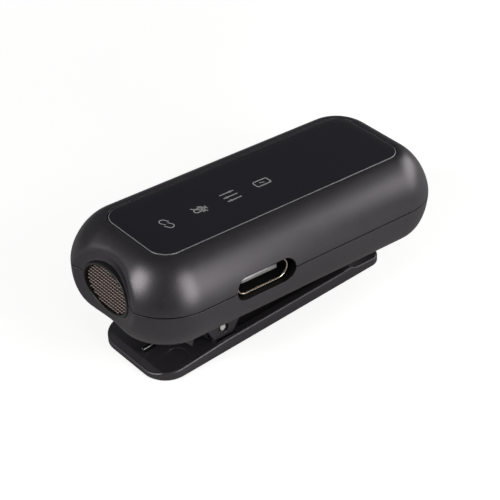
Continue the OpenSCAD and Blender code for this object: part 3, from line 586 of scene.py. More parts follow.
class Finish:
    """A procedural material on the part's own coordinates, in millimetres."""

    def __init__(self, name, **constants):
        self.material = bpy.data.materials.new(name + "_finish")
        self.material.use_nodes = True
        self.tree = self.material.node_tree
        self.shader = next(n for n in self.tree.nodes if n.type == "BSDF_PRINCIPLED")
        for key, value in constants.items():
            value = (*value, 1) if isinstance(value, tuple) else value
            self.shader.inputs[socket_name(key)].default_value = value
        place = self.node("ShaderNodeTexCoord", {})
        scale = self.node("ShaderNodeVectorMath",
                          {0: place.outputs["Object"], "Scale": 1 / MM}, operation="SCALE")
        self.place = scale.outputs[0]
        parts = self.node("ShaderNodeSeparateXYZ", {0: self.place})
        self.x, self.y, self.z = (Value(self, s) for s in parts.outputs)

    def node(self, kind, inputs, **settings):
        """Adds a node: its settings first, then the values or links of its sockets."""
        node = self.tree.nodes.new(kind)
        for key, value in settings.items():
            setattr(node, key, value)
        for key, value in inputs.items():
            value = value.socket if isinstance(value, Value) else value
            if isinstance(value, bpy.types.NodeSocket):
                self.tree.links.new(value, node.inputs[key])
            else:
                node.inputs[key].default_value = value
        return node

    def noise(self, size, detail=2.0, rough=0.5, stretch=(1, 1, 1)):
        """Noise whose grains are about size millimetres across, stretched along the axes."""
        grains = {0: self.place, 1: tuple(1 / (size * s) for s in stretch)}
        where = self.node("ShaderNodeVectorMath", grains, operation="MULTIPLY").outputs[0]
        inputs = {"Vector": where, "Scale": 1.0, "Detail": detail, "Roughness": rough}
        return Value(self, self.node("ShaderNodeTexNoise", inputs).outputs["Fac"])

    def cells(self, size):
        """Distance to the nearest of points scattered about size millimetres apart."""
        node = self.node("ShaderNodeTexVoronoi", {"Vector": self.place, "Scale": 1 / size})
        return Value(self, node.outputs["Distance"])

    def grazing(self, low, high):
        """Smooth step, from low to high, of one less the cosine between the surface's normal
        and the line of sight: gloss is lost at a glancing angle."""
        node = self.node("ShaderNodeLayerWeight", {"Blend": 0.5})
        return Value(self, node.outputs["Facing"]).above(low, high)

    def mix(self, share, low, high):
        """Colour between low and high by a share."""
        low, high = ((*c, 1) if isinstance(c, tuple) else c for c in (low, high))
        return self.node("ShaderNodeMix", {0: share, 6: low, 7: high}, data_type="RGBA").outputs[2]

    def bump(self, height, depth):
        """Bump of a height from 0 to 1 that stands for depth millimetres."""
        inputs = {"Height": height, "Distance": depth * MM, "Strength": 1.0}
        return self.node("ShaderNodeBump", inputs).outputs[0]

    def feed(self, **inputs):
        """Links values or colours to the shader's sockets."""
        for key, value in inputs.items():
            socket = self.shader.inputs[socket_name(key)]
            self.tree.links.new(value.socket if isinstance(value, Value) else value, socket)
        return self.material


def shade(tint, factor):
    """The colour times a factor."""
    return tuple(min(1.0, c * factor) for c in tint)


def grained(name, tint, tones, gloss, grain, depth=0, **constants):
    """A finish with one noise as its grain, which changes its colour between two shares of the
    tint, its roughness from the first of gloss by up to the second, and its height by depth."""
    f = Finish(name, **constants)
    noise = f.noise(**grain)
    looks = {
        "base_color": f.mix(noise, *(shade(tint, tone) for tone in tones)),
        "roughness": gloss[0] + noise * gloss[1],
    }
    if depth:
        looks["normal"] = f.bump(noise, depth)
    return f.feed(**looks)


# Satin coat of the housing and the lever: its gloss, and the faint violet of what it mirrors
SATIN = {"ior": 1.5, "specular_ior_level": 1.0, "specular_tint": (0.97, 0.93, 1.0)}


def case_plastic():
    """Satin charcoal plastic: a fine spark-eroded grain, slightly uneven in tone and gloss."""
    h = sizes("housing")
    f = Finish("case_plastic", **SATIN)
    grain, cloud = f.noise(size=0.2, detail=3.0, rough=0.65), f.noise(size=2.2, detail=3.0)
    tone = grain.above(0.3, 0.7) * 0.8 + cloud.above(0.3, 0.7) * 0.2
    return f.feed(
        base_color=f.mix(tone, shade(h.tint, 0.55), shade(h.tint, 1.45)),
        roughness=h.roughness - 0.03 + cloud * 0.06,
        normal=f.bump(grain, depth=0.009),
    )


def case_core():
    """Near-black plastic laid as painted shade where shade falls: on the shells' insides, cut
    edges, seam and openings, on the port shell's inner wall and on the pin's shoulders.
    """
    return grained("case_core", (0.004, 0.004, 0.004), (0.75, 1.25), (0.56, 0.08),
                   {"size": 0.1}, 0.004, specular_ior_level=0.2)


def clip_plastic():
    """Moulded plastic, smoother than the case, with faint flow streaks along the lever. It loses
    its gloss at a glancing angle."""
    c = sizes("clip")
    f = Finish("clip_plastic", **SATIN)
    flow = f.noise(size=1.0, detail=3.0, rough=0.6, stretch=(6, 1, 1))
    grain = f.noise(size=0.12)
    return f.feed(
        base_color=f.mix(flow.above(0.3, 0.7), shade(c.tint, 0.92), shade(c.tint, 1.08)),
        roughness=0.36 + flow * 0.08 + f.grazing(0.44, 0.6) * 0.45,
        normal=f.bump(grain, depth=0.003),
    )


def trim_plastic():
    """Black trim plastic with a fine grain."""
    return grained("trim_plastic", sizes("mic").trim_tint, (0.9, 1.1), (0.28, 0.06),
                   {"size": 0.1}, 0.002, roughness=0.3)


def panel_gloss():
    """Polished black inlay with the slightest wave and a few fine wipe marks in its gloss, which
    it loses at a glancing angle."""
    p = sizes("panel")
    f = Finish("panel_gloss", roughness=0.06, ior=1.49)
    wave = f.noise(size=5.0, detail=1.0)
    wipe = f.noise(size=0.3, detail=3.0, rough=0.6, stretch=(14, 1, 1))
    return f.feed(
        base_color=f.mix(wave, shade(p.tint, 0.9), shade(p.tint, 1.1)),
        roughness=0.05 + wipe.above(0.55, 0.8) * 0.05 + f.grazing(0.46, 0.6) * 0.8,
        normal=f.bump(wave, depth=0.004),
    )


def panel_edge():
    """Light grey finish of the inlay's rounded edge: a painted highlight along its upper part."""
    return grained("panel_edge", sizes("panel").edge_tint, (0.85, 1.15), (0.14, 0.12),
                   {"size": 0.2, "rough": 0.6}, roughness=0.25)


def mark_print():
    """Pale screen print, with the grain of its ink."""
    return grained("mark_print", sizes("panel").mark_tint, (0.85, 1.15), (0.45, 0.15),
                   {"size": 0.07}, roughness=0.5)


def port_nose():
    """Plated edge of the port's tongue, crossed by fine cuts: a sine along x, stepped."""
    p = sizes("port")
    f = Finish("port_nose", metallic=1.0)
    cuts = (f.x * (2 * math.pi / p.cuts)).math("SINE").above(-0.6, 0.5)
    return f.feed(
        base_color=f.mix(cuts, shade(p.nose_tint, 0.5), p.nose_tint),
        roughness=0.36 + cuts * 0.1,
        normal=f.bump(cuts, depth=0.01),
    )


def metal(name, tint, roughness, grain, stretch=(1, 1, 1), depth=0.001):
    """Bare metal: a fine grain, stretched where it is drawn or brushed, in tone and gloss."""
    lines = {"size": grain, "detail": 3.0, "rough": 0.6, "stretch": stretch}
    return grained(name, tint, (0.88, 1.1), (roughness - 0.05, 0.1), lines, depth,
                   roughness=roughness, metallic=1.0)


def matte(name, tint, roughness, grain, depth=0.004):
    """Plain matte stuff with a fine grain in tone, gloss and height."""
    spots = {"size": grain, "detail": 3.0, "rough": 0.6}
    return grained(name, tint, (0.85, 1.15), (roughness - 0.06, 0.12), spots, depth,
                   roughness=roughness)


def foam(name, tint):
    """Open-cell foam: dark cells about 0.2 mm across between paler walls."""
    f = Finish(name, roughness=0.9)
    cell = f.cells(size=0.22).above(0.15, 0.6)
    return f.feed(
        base_color=f.mix(cell, shade(tint, 0.4), shade(tint, 1.5)),
        normal=f.bump(cell, depth=0.08),
    )


# Finishes that are told apart by their values alone: what makes them, and their colour,
# roughness, grain in millimetres, stretch and depth
PLAIN = {
    "tape": (foam, (0.02, 0.02, 0.02)),
    "contact_gold": (metal, (0.83, 0.66, 0.4), 0.25, 0.1),
    "steel": (metal, (0.93, 0.9, 0.88), 0.58, 0.2),
    "spring_steel": (metal, (0.1, 0.1, 0.105), 0.26, 0.2),
    "battery_foil": (metal, (0.5, 0.51, 0.53), 0.38, 0.5, (1, 1, 1), 0.01),
    "clear_plastic": (matte, (0.6, 0.62, 0.65), 0.2, 0.6, 0.001),
    "lamp": (matte, (0.75, 0.7, 0.42), 0.35, 0.2),
    "board": (matte, (0.012, 0.07, 0.035), 0.32, 0.5, 0.006),
    "chip_plastic": (matte, (0.016, 0.016, 0.018), 0.5, 0.12),
    "ceramic": (matte, (0.7, 0.68, 0.62), 0.5, 0.3),
    "soft_rubber": (matte, (0.02, 0.02, 0.02), 0.7, 0.2),
}
OWN = {
    made.__name__: made
    for made in (case_plastic, case_core, clip_plastic, trim_plastic, panel_gloss, panel_edge,
                 mark_print, port_nose)
}
OWN["foam"] = lambda: foam("foam", sizes("mic").foam_tint)
OWN["mesh_metal"] = lambda: metal("mesh_metal", sizes("mic").mesh_tint, 0.55, 0.1)
OWN["port_metal"] = lambda: metal("port_metal", sizes("port").shell_tint, 0.24, 0.12, (1, 8, 1))
# The finishes made so far
MADE = {}


def finish(name):
    """The named finish, made when it is first asked for."""
    if name not in MADE and name in OWN:
        MADE[name] = OWN[name]()
    elif name not in MADE:
        make, *values = PLAIN[name]
        MADE[name] = make(name, *values)
    return MADE[name]


# The housing

# Columns of its grid before, in and behind the boxes round the side openings, and across the end
BEFORE_BOX, IN_BOX, BEHIND_BOX, ACROSS_END = 8, 37, 26, 11
# Half length of those boxes, and how far above and below the parting line they reach
BOX_HALF, BOX_REACH = 7, 3.3
# Steps round a corner, and how many of them the box round the microphone's hole takes in
CORNER_STEPS, END_STEPS = 20, 8
# Rows up the side of the upper and of the lower shell
UPPER_ROWS, LOWER_ROWS = 33, 25
# Heights at which the inner wall leaves the side for the roof and for the floor
ROOF_BEND, FLOOR_BEND = 9.9, 1.5
# Insets of the ceiling's rows under the panel's recess
CEILING = (3.8, 5.0)
# Steps from a hole's edge to its box, for the microphone's hole and for the slots, and the share
# of the edge that faces each upright side of the box
HOLE_STEPS, SLOT_STEPS = 22, 12
HOLE_SHARE, SLOT_SHARE = 0.2, 0.13
# Points on half of an oval and on each half circle of a slot, before they are spread evenly
OVAL_POINTS, ARC_POINTS = 240, 120
# Halvings that find a point's place on the dish
HALVINGS = 30
# Below this, two directions are parallel; and how far past its ends an edge still counts as met
PARALLEL, ON_EDGE = 1e-12, 1e-9
# Directions in which an ear is drawn round its hole
EAR_POINTS = 96
# Posts under the circuit board: their places, their own and their screws' radius, the height of
# their tops and of their holes' ends, and the points round them
POST_ALONG, POST_ACROSS = (-16.9, 21.4), (-6.6, 6.6)
POST_RADIUS, SCREW_RADIUS, POST_TOP, SCREW_END = 1.7, 0.7, 3.67, 2.07
POST_POINTS = 32


def draw_in(z, h):
    """How far the side lies inside the housing's widest outline at a height: the draw-in times
    1 - (1 - t^n)^(1/n), with t the share of the way from the parting line to the flat face."""
    up = z > h.parting
    t = np.clip(np.abs(z - h.parting) / np.where(up, h.tall - h.parting, h.parting), 0, 1)
    n = np.where(up, h.top_bulge, h.low_bulge)
    return np.where(up, h.top_draw, h.low_draw) * (1 - (1 - t**n) ** (1 / n))


def outline(h, xs, ys):
    """Core points and outward directions round the housing, clockwise from the +X end: on the
    straights the core point moves, and round the corners the direction turns."""
    x, y = h.long / 2 - h.corner, h.wide / 2 - h.corner
    sides = (
        (0, coords(x, ys[::-1]), (x, -y)),
        (-90, coords(xs[::-1], -y), (-x, -y)),
        (-180, coords(-x, ys), (-x, y)),
        (-270, coords(xs, y), (x, y)),
    )
    core, out = [], []
    for start, straight, corner in sides:
        a = turn(CORNER_STEPS + 1, start, start - 90, closed=False)[1:-1]
        core += [straight, np.tile(corner, (len(a), 1))]
        out += [np.tile(ways(math.radians(start)), (len(straight), 1)), ways(a)]
    return np.concatenate(core), np.concatenate(out)


def skin(core, out, inset, z, h):
    """Rows round the housing: core point plus (corner radius - inset) times the direction."""
    reach = np.maximum(h.corner - inset, 0)[:, None, None]
    xy = core[None] + reach * out[None]
    rows = at_level(xy, z[:, None])
    return np.concatenate([rows, rows[:, :1]], axis=1)


def side_point(s, z, inset, side, h):
    """Point of the skin above a place s along a side: the outline there lies at the half size
    less the corner radius, plus the root of (radius - inset)^2 less the squared overrun of s."""
    end = side == "end"
    flat = (h.wide if end else h.long) / 2 - h.corner
    over = np.maximum(np.abs(s) - flat, 0)
    reach = np.sqrt(np.maximum((h.corner - inset) ** 2 - over**2, 0))
    if end:
        return coords(-(h.long / 2 - h.corner + reach), s, z)
    sign = 1 if side == "back" else -1
    return coords(s, sign * (h.wide / 2 - h.corner + reach), z)


def oval_arc(wide, tall, cz, z_edge, up):
    """Part of an oval above or below a height, from its negative to its positive end."""
    a = math.asin((z_edge - cz) / (tall / 2))
    t = np.linspace(math.pi - a, a if up else 2 * math.pi + a, OVAL_POINTS)
    return coords(wide / 2 * np.cos(t), cz + tall / 2 * np.sin(t))


def slot_arc(wide, tall, cx, cz, z_edge, up):
    """Part of a slot with round ends above or below a height, from its lower to its higher s."""
    r, s = tall / 2, (wide - tall) / 2
    t = np.linspace(math.asin((z_edge - cz) / r), math.pi / 2 if up else -math.pi / 2, ARC_POINTS)
    left, right = (coords(cx + side * (s + r * np.cos(t)), cz + r * np.sin(t)) for side in (-1, 1))
    return np.concatenate([left, right[::-1]])


def dished(points, m):
    """Sinks the dish into the microphone's end: with s the distance outside the hole's oval as
    a share of the dish's width, x moves in by the depth times (1 + cos(pi s)) / 2."""
    y, z = points[..., 1], points[..., 2] - m.axis
    low, high = np.zeros_like(y), np.ones_like(y)
    for _ in range(HALVINGS):
        s = (low + high) / 2
        inside = (y / (m.wide / 2 + s * m.dish)) ** 2 + (z / (m.tall / 2 + s * m.dish)) ** 2 < 1
        low, high = np.where(inside, low, s), np.where(inside, s, high)
    x = points[..., 0] + m.dish_deep * (1 + np.cos(math.pi * s)) / 2
    return np.concatenate([x[..., None], points[..., 1:]], axis=-1)


def opening(sheet, outer, inner, columns, top_row, arcs, share, side, h, steps, cut):
    """Fills the box of quads from row 0 to top_row between two columns with a grid that runs
    from a hole's edge to the box's edge. arcs are the hole's edge in the outer and inner layer,
    share the part of its length that faces each upright side of the box, and cut, if any,
    changes the outer layer's points."""
    i0, i1 = columns
    axis = 1 if side == "end" else 0
    r = np.linspace(0, 1, steps + 1)[:, None, None]
    layers = []
    for rows, arc, depth in ((outer, arcs[0], 0.0), (inner, arcs[1], h.wall)):
        box = np.concatenate(
            [rows[:top_row, i0], rows[top_row, i0:i1], rows[: top_row + 1, i1][::-1]]
        )[:, [axis, 2]]
        arc = arc if box[-1, 0] > box[0, 0] else arc[::-1]
        edge = resampled(arc, (top_row, i1 - i0, top_row), share)
        spot = edge + (box - edge) * r
        spot[-1] = box
        points = side_point(spot[..., 0], spot[..., 1], draw_in(spot[..., 1], h) + depth, side, h)
        layers.append(cut(points) if cut and depth == 0 else points)
    sheet.add(*layers)


class Layout:
    """Where the housing's columns run, shared by both shells."""

    def __init__(self, h, p, q):
        x, y = h.long / 2 - h.corner, h.wide / 2 - h.corner
        panel_long = h.long - 2 * (h.top_draw + p.rim) - 2 * p.gap
        self.marks = [p.pitch * (i + 1) - panel_long / 2 for i in range(p.windows)]
        self.port_x = q.along - h.long / 2
        self.box = (self.port_x - BOX_HALF, self.port_x + BOX_HALF)
        xs = np.concatenate([
            np.linspace(-x, self.box[0], BEFORE_BOX), np.linspace(*self.box, IN_BOX),
            np.linspace(self.box[1], x, BEHIND_BOX),
            [m + s * p.window_wide / 2 for m in self.marks for s in (-1, 1)]])
        ys = np.concatenate([np.linspace(-y, y, ACROSS_END),
                             [-p.window_deep / 2, p.window_deep / 2]])
        self.xs, self.ys = (np.unique(np.round(v, 6)) for v in (xs, ys))
        self.core, self.out = outline(h, self.xs, self.ys)

    def columns(self, side):
        """First and last column of the box round an opening."""
        ny, nx, arc = len(self.ys), len(self.xs), CORNER_STEPS - 1
        if side == "end":
            start = ny + arc + nx + arc
            return start - END_STEPS, start + ny - 1 + END_STEPS
        first, last = (int(np.argmin(np.abs(self.xs - b))) for b in self.box)
        if side == "front":
            start = ny + arc + nx - 1
            return start - last, start - first
        start = 2 * ny + 3 * arc + nx
        return start + first, start + last

    def cap(self, sheet, levels, window):
        """Closes the middle with a grid on the outline's own columns, less the windows."""
        x, y = np.meshgrid(self.xs, self.ys, indexing="ij")
        keep = np.ones((len(self.xs) - 1, len(self.ys) - 1), bool)
        if window:
            cx, cy = (self.xs[1:] + self.xs[:-1]) / 2, (self.ys[1:] + self.ys[:-1]) / 2
            inside = np.abs(cy) < window[1] / 2
            for m in self.marks:
                keep &= ~((np.abs(cx - m) < window[0] / 2)[:, None] & inside[None])
        sheet.add(*(coords(x, y, z) for z in levels), keep=keep)


def button_place(h, q):
    """Centre of the button along the housing and its height, from the board under its switch."""
    return q.button_along - h.long / 2, q.high - q.tall / 2 + q.switch / 2


def shell(up):
    """One shell as a solid. Its rows follow the side from the parting line to the flat face,
    evenly in the angle a, with height H sin(a)^(2/n) and draw-in D (1 - cos(a)^(2/n)); inside,
    the same rows lie a wall deeper. The holes are cut as boxes of their own."""
    h, p, m, q = sizes("housing", "panel", "mic", "port")
    lay, sheet = Layout(h, p, q), Sheet()
    face, edge_z, n, rows, bend, limit = (
        (h.tall, h.parting + h.seam, h.top_bulge, UPPER_ROWS, ROOF_BEND,
         h.tall - p.thick - p.tape - h.roof)
        if up else (0.0, h.parting, h.low_bulge, LOWER_ROWS, FLOOR_BEND, h.wall))
    start = math.asin((abs(edge_z - h.parting) / abs(face - h.parting)) ** (n / 2))
    a = np.linspace(start, math.pi / 2, rows)
    z = h.parting + (face - h.parting) * np.sin(a) ** (2 / n)
    z[0], z[-1] = edge_z, face
    beyond = (z - bend) * (1 if up else -1) > 0
    z_in = np.where(beyond, bend + (z - bend) * (limit - bend) / (face - bend), z)
    z_in[0] = h.parting
    hole_row = int(np.argmax(beyond)) - 1
    inset, inset_in = draw_in(z, h), draw_in(z_in, h) + h.wall
    if up:
        recess, low = h.top_draw + p.rim, h.tall - p.thick - p.tape
        inset = np.concatenate([inset, [recess, recess, h.corner]])
        z = np.concatenate([z, [h.tall, low, low]])
        inset_in = np.concatenate([inset_in, CEILING, [h.corner]])
        z_in = np.concatenate([z_in, [limit] * 3])
    else:
        inset, z = np.append(inset, h.corner), np.append(z, face)
        inset_in, z_in = np.append(inset_in, h.corner), np.append(z_in, limit)
    outer = skin(lay.core, lay.out, inset, z, h)
    outer = np.where(outer[..., :1] < 0, dished(outer, m), outer)
    inner = skin(lay.core, lay.out, inset_in, z_in, h)
    bx, bz = button_place(h, q)
    wide, tall = q.button_wide + 2 * q.button_play, q.button_tall + 2 * q.button_play
    slot_row = int(np.argmax(np.abs(z - h.parting) > BOX_REACH))
    holes = (
        ("end", hole_row, HOLE_SHARE, HOLE_STEPS, lambda points: dished(points, m),
         lambda edge: oval_arc(m.wide, m.tall, m.axis, edge, up)),
        ("front", slot_row, SLOT_SHARE, SLOT_STEPS, None,
         lambda edge: slot_arc(q.slot_wide, q.slot_tall, lay.port_x, q.high, edge, up)),
        ("back", slot_row, SLOT_SHARE, SLOT_STEPS, None,
         lambda edge: slot_arc(wide, tall, bx, bz, edge, up)),
    )
    keep = np.ones((len(z) - 1, outer.shape[1] - 1), bool)
    for side, top, share, steps, cut, arc in holes:
        columns = lay.columns(side)
        keep[:top, columns[0] : columns[1]] = False
        arcs = arc(edge_z), arc(h.parting)
        opening(sheet, outer, inner, columns, top, arcs, share, side, h, steps, cut)
    sheet.add(outer, inner, keep=keep)
    lay.cap(sheet, (z[-1], limit), (p.window_wide, p.window_deep) if up else None)
    # The inner layer and the strips along the seam and the openings take the second finish,
    # near-black painted shade
    return sheet.solid(rest=1)


def polygon_reach(corners, angles):
    """Distance from the origin to a closed outline round it, in each direction: of the places
    where the direction's line meets an edge's line, the nearest in front that lies on the edge."""
    edge = (np.roll(corners, -1, axis=0) - corners)[None]
    d = ways(angles)[:, None]
    x, y = corners.T
    cross = d[..., 0] * edge[..., 1] - d[..., 1] * edge[..., 0]
    cross = np.where(np.abs(cross) < PARALLEL, PARALLEL, cross)
    reach = (x * edge[..., 1] - y * edge[..., 0]) / cross
    share = (x * d[..., 1] - y * d[..., 0]) / cross
    met = (share > -ON_EDGE) & (share < 1 + ON_EDGE) & (reach > 0)
    return np.where(met, reach, np.inf).min(axis=1)


def pierced_plate(corners, centre, rings, y_back, n):
    """Plate in the xz plane with a round stepped hole: rings are the hole's radii and the y
    they lie at, from the front face inwards; the outline is seen from the hole's centre."""
    around = corners - centre
    own = np.arctan2(around[:, 1], around[:, 0]) % (2 * math.pi)
    angles = np.unique(np.round(np.concatenate([turn(n), own]), 7))
    d = ways(angles)
    edge = centre + d * polygon_reach(around, angles)[:, None]
    rows = [(edge, rings[0][1]), *((centre + d * r, y) for r, y in rings), (edge, y_back)]
    return grid(np.stack([upright(section, y) for section, y in rows]), wrap_rows=True)


def prism(corners, y0, y1):
    """Straight prism along y over an outline in the xz plane."""
    return grid(np.stack([upright(corners, y) for y in (y0, y1)]))


def tube(start, radii, places, n, direction="z"):
    """Rings of given radii at given places along an axis through a point, closed at both ends."""
    ring = ways(turn(n))
    rows = np.stack([at_level(ring * r, t) for r, t in zip(radii, places)])
    order = {"z": [0, 1, 2], "y": [0, 2, 1]}[direction]
    return grid(np.asarray(start) + rows[..., order])


def rim_slope(g, c):
    """Slope of the lever's top from the thumb bevel up to the hinge."""
    return (c.rim - c.press) / (g.along - c.bevel_long)


def stop_depth(g, c):
    """Depth of the stop tooth, so that its point nears the lever's top when the clip is open."""
    turned = g.pitch - g.opens
    slope = rim_slope(g, c)
    rise = c.press + g.stop_gap - g.high - g.stop_along * math.sin(turned)
    rise += slope * (g.along - c.bevel_long - g.stop_along * math.cos(turned))
    return g.deep - rise / (math.cos(turned) - slope * math.sin(turned))


def ears():
    """Hinge ears with their stop teeth: two tapered plates with a stepped hole for the pin,
    and a pointed tooth beside each, all rooted in the lower shell's wall."""
    h, g, c = sizes("housing", "hinge", "clip")
    px, root = g.from_end - h.long / 2, h.wall / 2
    corners = np.array([
        [px + g.ear_top, root], [px - g.ear_top, root], [px - g.ear_top, 0],
        [px - g.ear_foot, -g.ear_deep], [px + g.ear_foot, -g.ear_deep], [px + g.ear_top, 0]])
    outside = g.ears / 2
    inside, step = outside - g.ear_thick, outside - g.recess_deep
    hole, recess = g.pin + g.ear_play, g.pin + g.recess
    rings = [(recess, outside), (recess, step), (hole, step), (hole, inside)]
    plate = pierced_plate(corners, np.array([px, -g.deep]), rings, inside, EAR_POINTS)
    deep = stop_depth(g, c)
    start = px - g.stop_along - deep
    tooth = prism(np.array([[start, 0], [start, root], [px - g.ear_top, root],
                            [px - g.ear_top, 0], [px - g.stop_along, -deep]]), inside, outside)
    return [plate, mirrored(plate), tooth, mirrored(tooth)]


def bosses():
    """Four round posts under the circuit board, each with a blind hole for its screw."""
    radii = POST_RADIUS, POST_RADIUS, SCREW_RADIUS, SCREW_RADIUS
    heights = sizes("housing").wall / 2, POST_TOP, POST_TOP, SCREW_END
    return [tube((x, y, 0), radii, heights, POST_POINTS) for x in POST_ALONG for y in POST_ACROSS]


class MIC_OT_housing(bpy.types.Operator):
    """Builds both shells with their openings, the hinge ears and the stop teeth"""

    bl_idname = "lavalier.housing"
    bl_label = "Housing"

    def execute(self, context):
        edge = sizes("housing").edge
        lower = joined(shell(False), *ears(), *bosses())
        for name, solid, node in (("case_upper", shell(True), "upper_shell"),
                                  ("case_lower", lower, "lower_shell")):
            # The second finish is near-black painted shade on the shells' insides, edges, seam and
            # openings
            piece(name, solid, node, "case_plastic", "case_core", bevel=edge, smooth=50)
        return {"FINISHED"}


# The panel

# Points round each corner, points up the panel's rounded edge, and those of its steps that are
# painted light grey as a highlight. The steps below them keep the face's dark finish, as a line of
# painted shade under the highlight.
QUARTER_POINTS, EDGE_POINTS, HIGHLIGHT_STEPS = 16, 6, (3, 6)
# How far the row behind the edge lies in, as a share of the corner's radius
BEHIND_EDGE = 0.6
# Points on a half circle of a sign's outline, and on the microphone sign's holder
SIGN_POINTS, HOLDER_POINTS = 28, 20
# Least share of a line's width kept at a sharp corner
SHARP_CORNER = 0.6


def rounded_rows(wide, deep, corner, levels):
    """Rows round a rectangle with round corners, one for each (inset, height)."""
    x, y = wide / 2 - corner, deep / 2 - corner
    a = turn(4 * QUARTER_POINTS).reshape(4, QUARTER_POINTS)
    d = ways(np.concatenate([a, a[:, -1:] + a[0, 1]], axis=1).ravel())
    core = np.repeat([[x, y], [-x, y], [-x, -y], [x, -y]], QUARTER_POINTS + 1, axis=0)
    return np.stack([at_level(core + (corner - inset) * d, z) for inset, z in levels])


def panel_plate():
    """Glossy inlay: its side rises to a rounded edge, a quarter ellipse whose upper part is painted
    light grey as a highlight, and to the flat face."""
    h, p = sizes("housing", "panel")
    inset = h.top_draw + p.rim + p.gap
    corner = h.corner - inset
    curve = [(p.bevel_wide * (1 - math.cos(t)), h.tall - p.bevel * (1 - math.sin(t)))
             for t in turn(EDGE_POINTS, 0, 90, closed=False)]
    levels = [(0, h.tall - p.thick), *curve, (corner * BEHIND_EDGE, h.tall)]
    rows = rounded_rows(h.long - 2 * inset, h.wide - 2 * inset, corner, levels)
    points, faces, _ = grid(rows)
    highlight_faces = range(*(step * rows.shape[1] for step in HIGHLIGHT_STEPS))
    return points, faces, [int(i in highlight_faces) for i in range(len(faces))]


def ribbon(path, wide, z, thick, closed):
    """Flat line along a path: each point is moved half the width to both sides along the mean
    of its two edges' normals, lengthened at corners so that the width stays the same."""
    ahead = np.roll(path, -1, axis=0) - path
    if not closed:
        ahead[-1] = ahead[-2]
    ahead /= np.linalg.norm(ahead, axis=1, keepdims=True)
    behind = np.roll(ahead, 1, axis=0)
    if not closed:
        behind[0] = ahead[0]
    normal = np.stack([-(ahead + behind)[:, 1], (ahead + behind)[:, 0]], axis=-1)
    squared = (normal**2).sum(1, keepdims=True)
    offset = normal * (wide / np.maximum(squared, SHARP_CORNER))
    left, right = path + offset, path - offset
    corners = [at_level(side, level)
               for side, level in ((left, z), (right, z), (right, z + thick), (left, z + thick))]
    return grid(np.stack(corners, axis=1), wrap_rows=closed)


def capsule(centre, long, wide, tilt, gap=0.0):
    """Outline of a slot with round ends, turned by a tilt in degrees. A gap is the share of its
    points that is left out round the middle of its left end."""
    half_turn = 2 * SIGN_POINTS - 2 + SIGN_POINTS // 2
    loop = np.roll(stadium(long, wide, SIGN_POINTS), -half_turn, axis=0)
    cut = int(len(loop) * gap / 2)
    loop = loop[cut : len(loop) - cut]
    c, s = math.cos(math.radians(tilt)), math.sin(math.radians(tilt))
    return loop @ np.array([[c, s], [-s, c]]) + centre


def pictograms():
    """Generic status signs: a link of two open loops, a muted microphone in its holder, three
    sliders and a battery with a bolt. Each is a set of lines, printed on the panel."""
    h, p, q = sizes("housing", "panel", "port")
    marks = Layout(h, p, q).marks
    link, mic, sliders, cell = (
        np.array([mark + right, p.across + up])
        for mark, right, up in zip(marks, (0.05, 0.1, -0.05, 0), (-0.06, 0, 0, 0.05)))
    lines = []

    def draw(points, closed=False, width=1.0):
        lines.append(ribbon(np.asarray(points, float), width * p.line, h.tall, p.print_thick,
                            closed))

    def stroke(at, *ends, width=1.0):
        draw([at + end for end in ends], width=width)

    for side, tilt in ((1, 120), (-1, -60)):
        loop = link + [-0.03 * side, 0.43 * side]
        draw(capsule(loop, long=1.47, wide=0.96, tilt=tilt, gap=0.2), width=0.8)
    draw(capsule(mic + [-0.3, -0.1], long=1.35, wide=0.78, tilt=8), closed=True)
    a = turn(HOLDER_POINTS, -80, 80, closed=False)
    draw(coords(0.8 * np.cos(a), 0.72 * np.sin(a)) + mic + [-0.12, -0.08])
    stroke(mic, [0.68, -0.08], [1.02, -0.08])
    stroke(mic, [1.02, -0.42], [1.02, 0.26])
    stroke(mic, [-1.0, 0.78], [0.75, -0.92])
    for y, knob in ((0.93, 0.6), (0.03, -0.6), (-0.9, -0.6)):
        stroke(sliders, [-1.2, y], [1.2, y])
        stroke(sliders, [knob - 0.17, y], [knob + 0.17, y], width=2.2)
    box = rounded_rows(wide=2.45, deep=1.25, corner=0.3, levels=[(0, 0)])
    draw(box[0, :, :2] + cell, closed=True)
    stroke(cell, [-0.35, 0.14], [0.12, -0.12], [-0.12, 0.12], [0.35, -0.14], width=0.7)
    return joined(*lines)


class MIC_OT_panel(bpy.types.Operator):
    """Builds the glossy panel and its printed pictograms"""

    bl_idname = "lavalier.panel"
    bl_label = "Panel"

    def execute(self, context):
        # The second finish is a painted highlight on the upper part of the panel's rounded edge
        piece("panel", panel_plate(), "top_panel", "panel_gloss", "panel_edge", smooth=30)
        piece("pictograms", pictograms(), None, "mark_print", slot="panel_gloss")
        return {"FINISHED"}


# The microphone's end

# Points round the ring and the foam, on a rounding of the ring's lip and on the foam's dome
OVAL_SIDES, LIP_POINTS, DOME_POINTS = 96, 6, 7
# The ring's play in its hole, and the rounding of its lip
RING_PLAY, LIP_ROUND = 0.03, 0.13
# How far inside the hole's oval the wires and the foam end
WIRES_INSET = FOAM_INSET = 0.45
# Points along a wire and round it, how far the two sets of wires nest as a share of their
# radius, and the least of the squared share to which the oval shortens a wire
WIRE_POINTS, WIRE_SIDES, WIRE_NEST, SHORTEST = 131, 6, 0.8, 0.02
# The foam's shoulder and its dome: places behind the mesh, rise, reach inwards and last angle
FOAM_SHOULDER, DOME_FOOT, DOME_RISE, DOME_REACH, DOME_END = 0.2, 0.14, 0.12, 2.9, 88


def mic_places(h, m):
    """Places along x of the ring's face, its back, the mesh and the foam."""
    face = -h.long / 2 + m.ring_deep
    mesh = face + m.lip_deep
    return face, face + m.ring_long, mesh, mesh + m.mesh_deep


def oval_rows(m, levels):
    """Rows round the microphone's axis, an oval for each (inset, x)."""
    a = turn(OVAL_SIDES)
    return np.stack([
        coords(x, (m.wide / 2 - inset) * np.cos(a), m.axis + (m.tall / 2 - inset) * np.sin(a))
        for inset, x in levels])


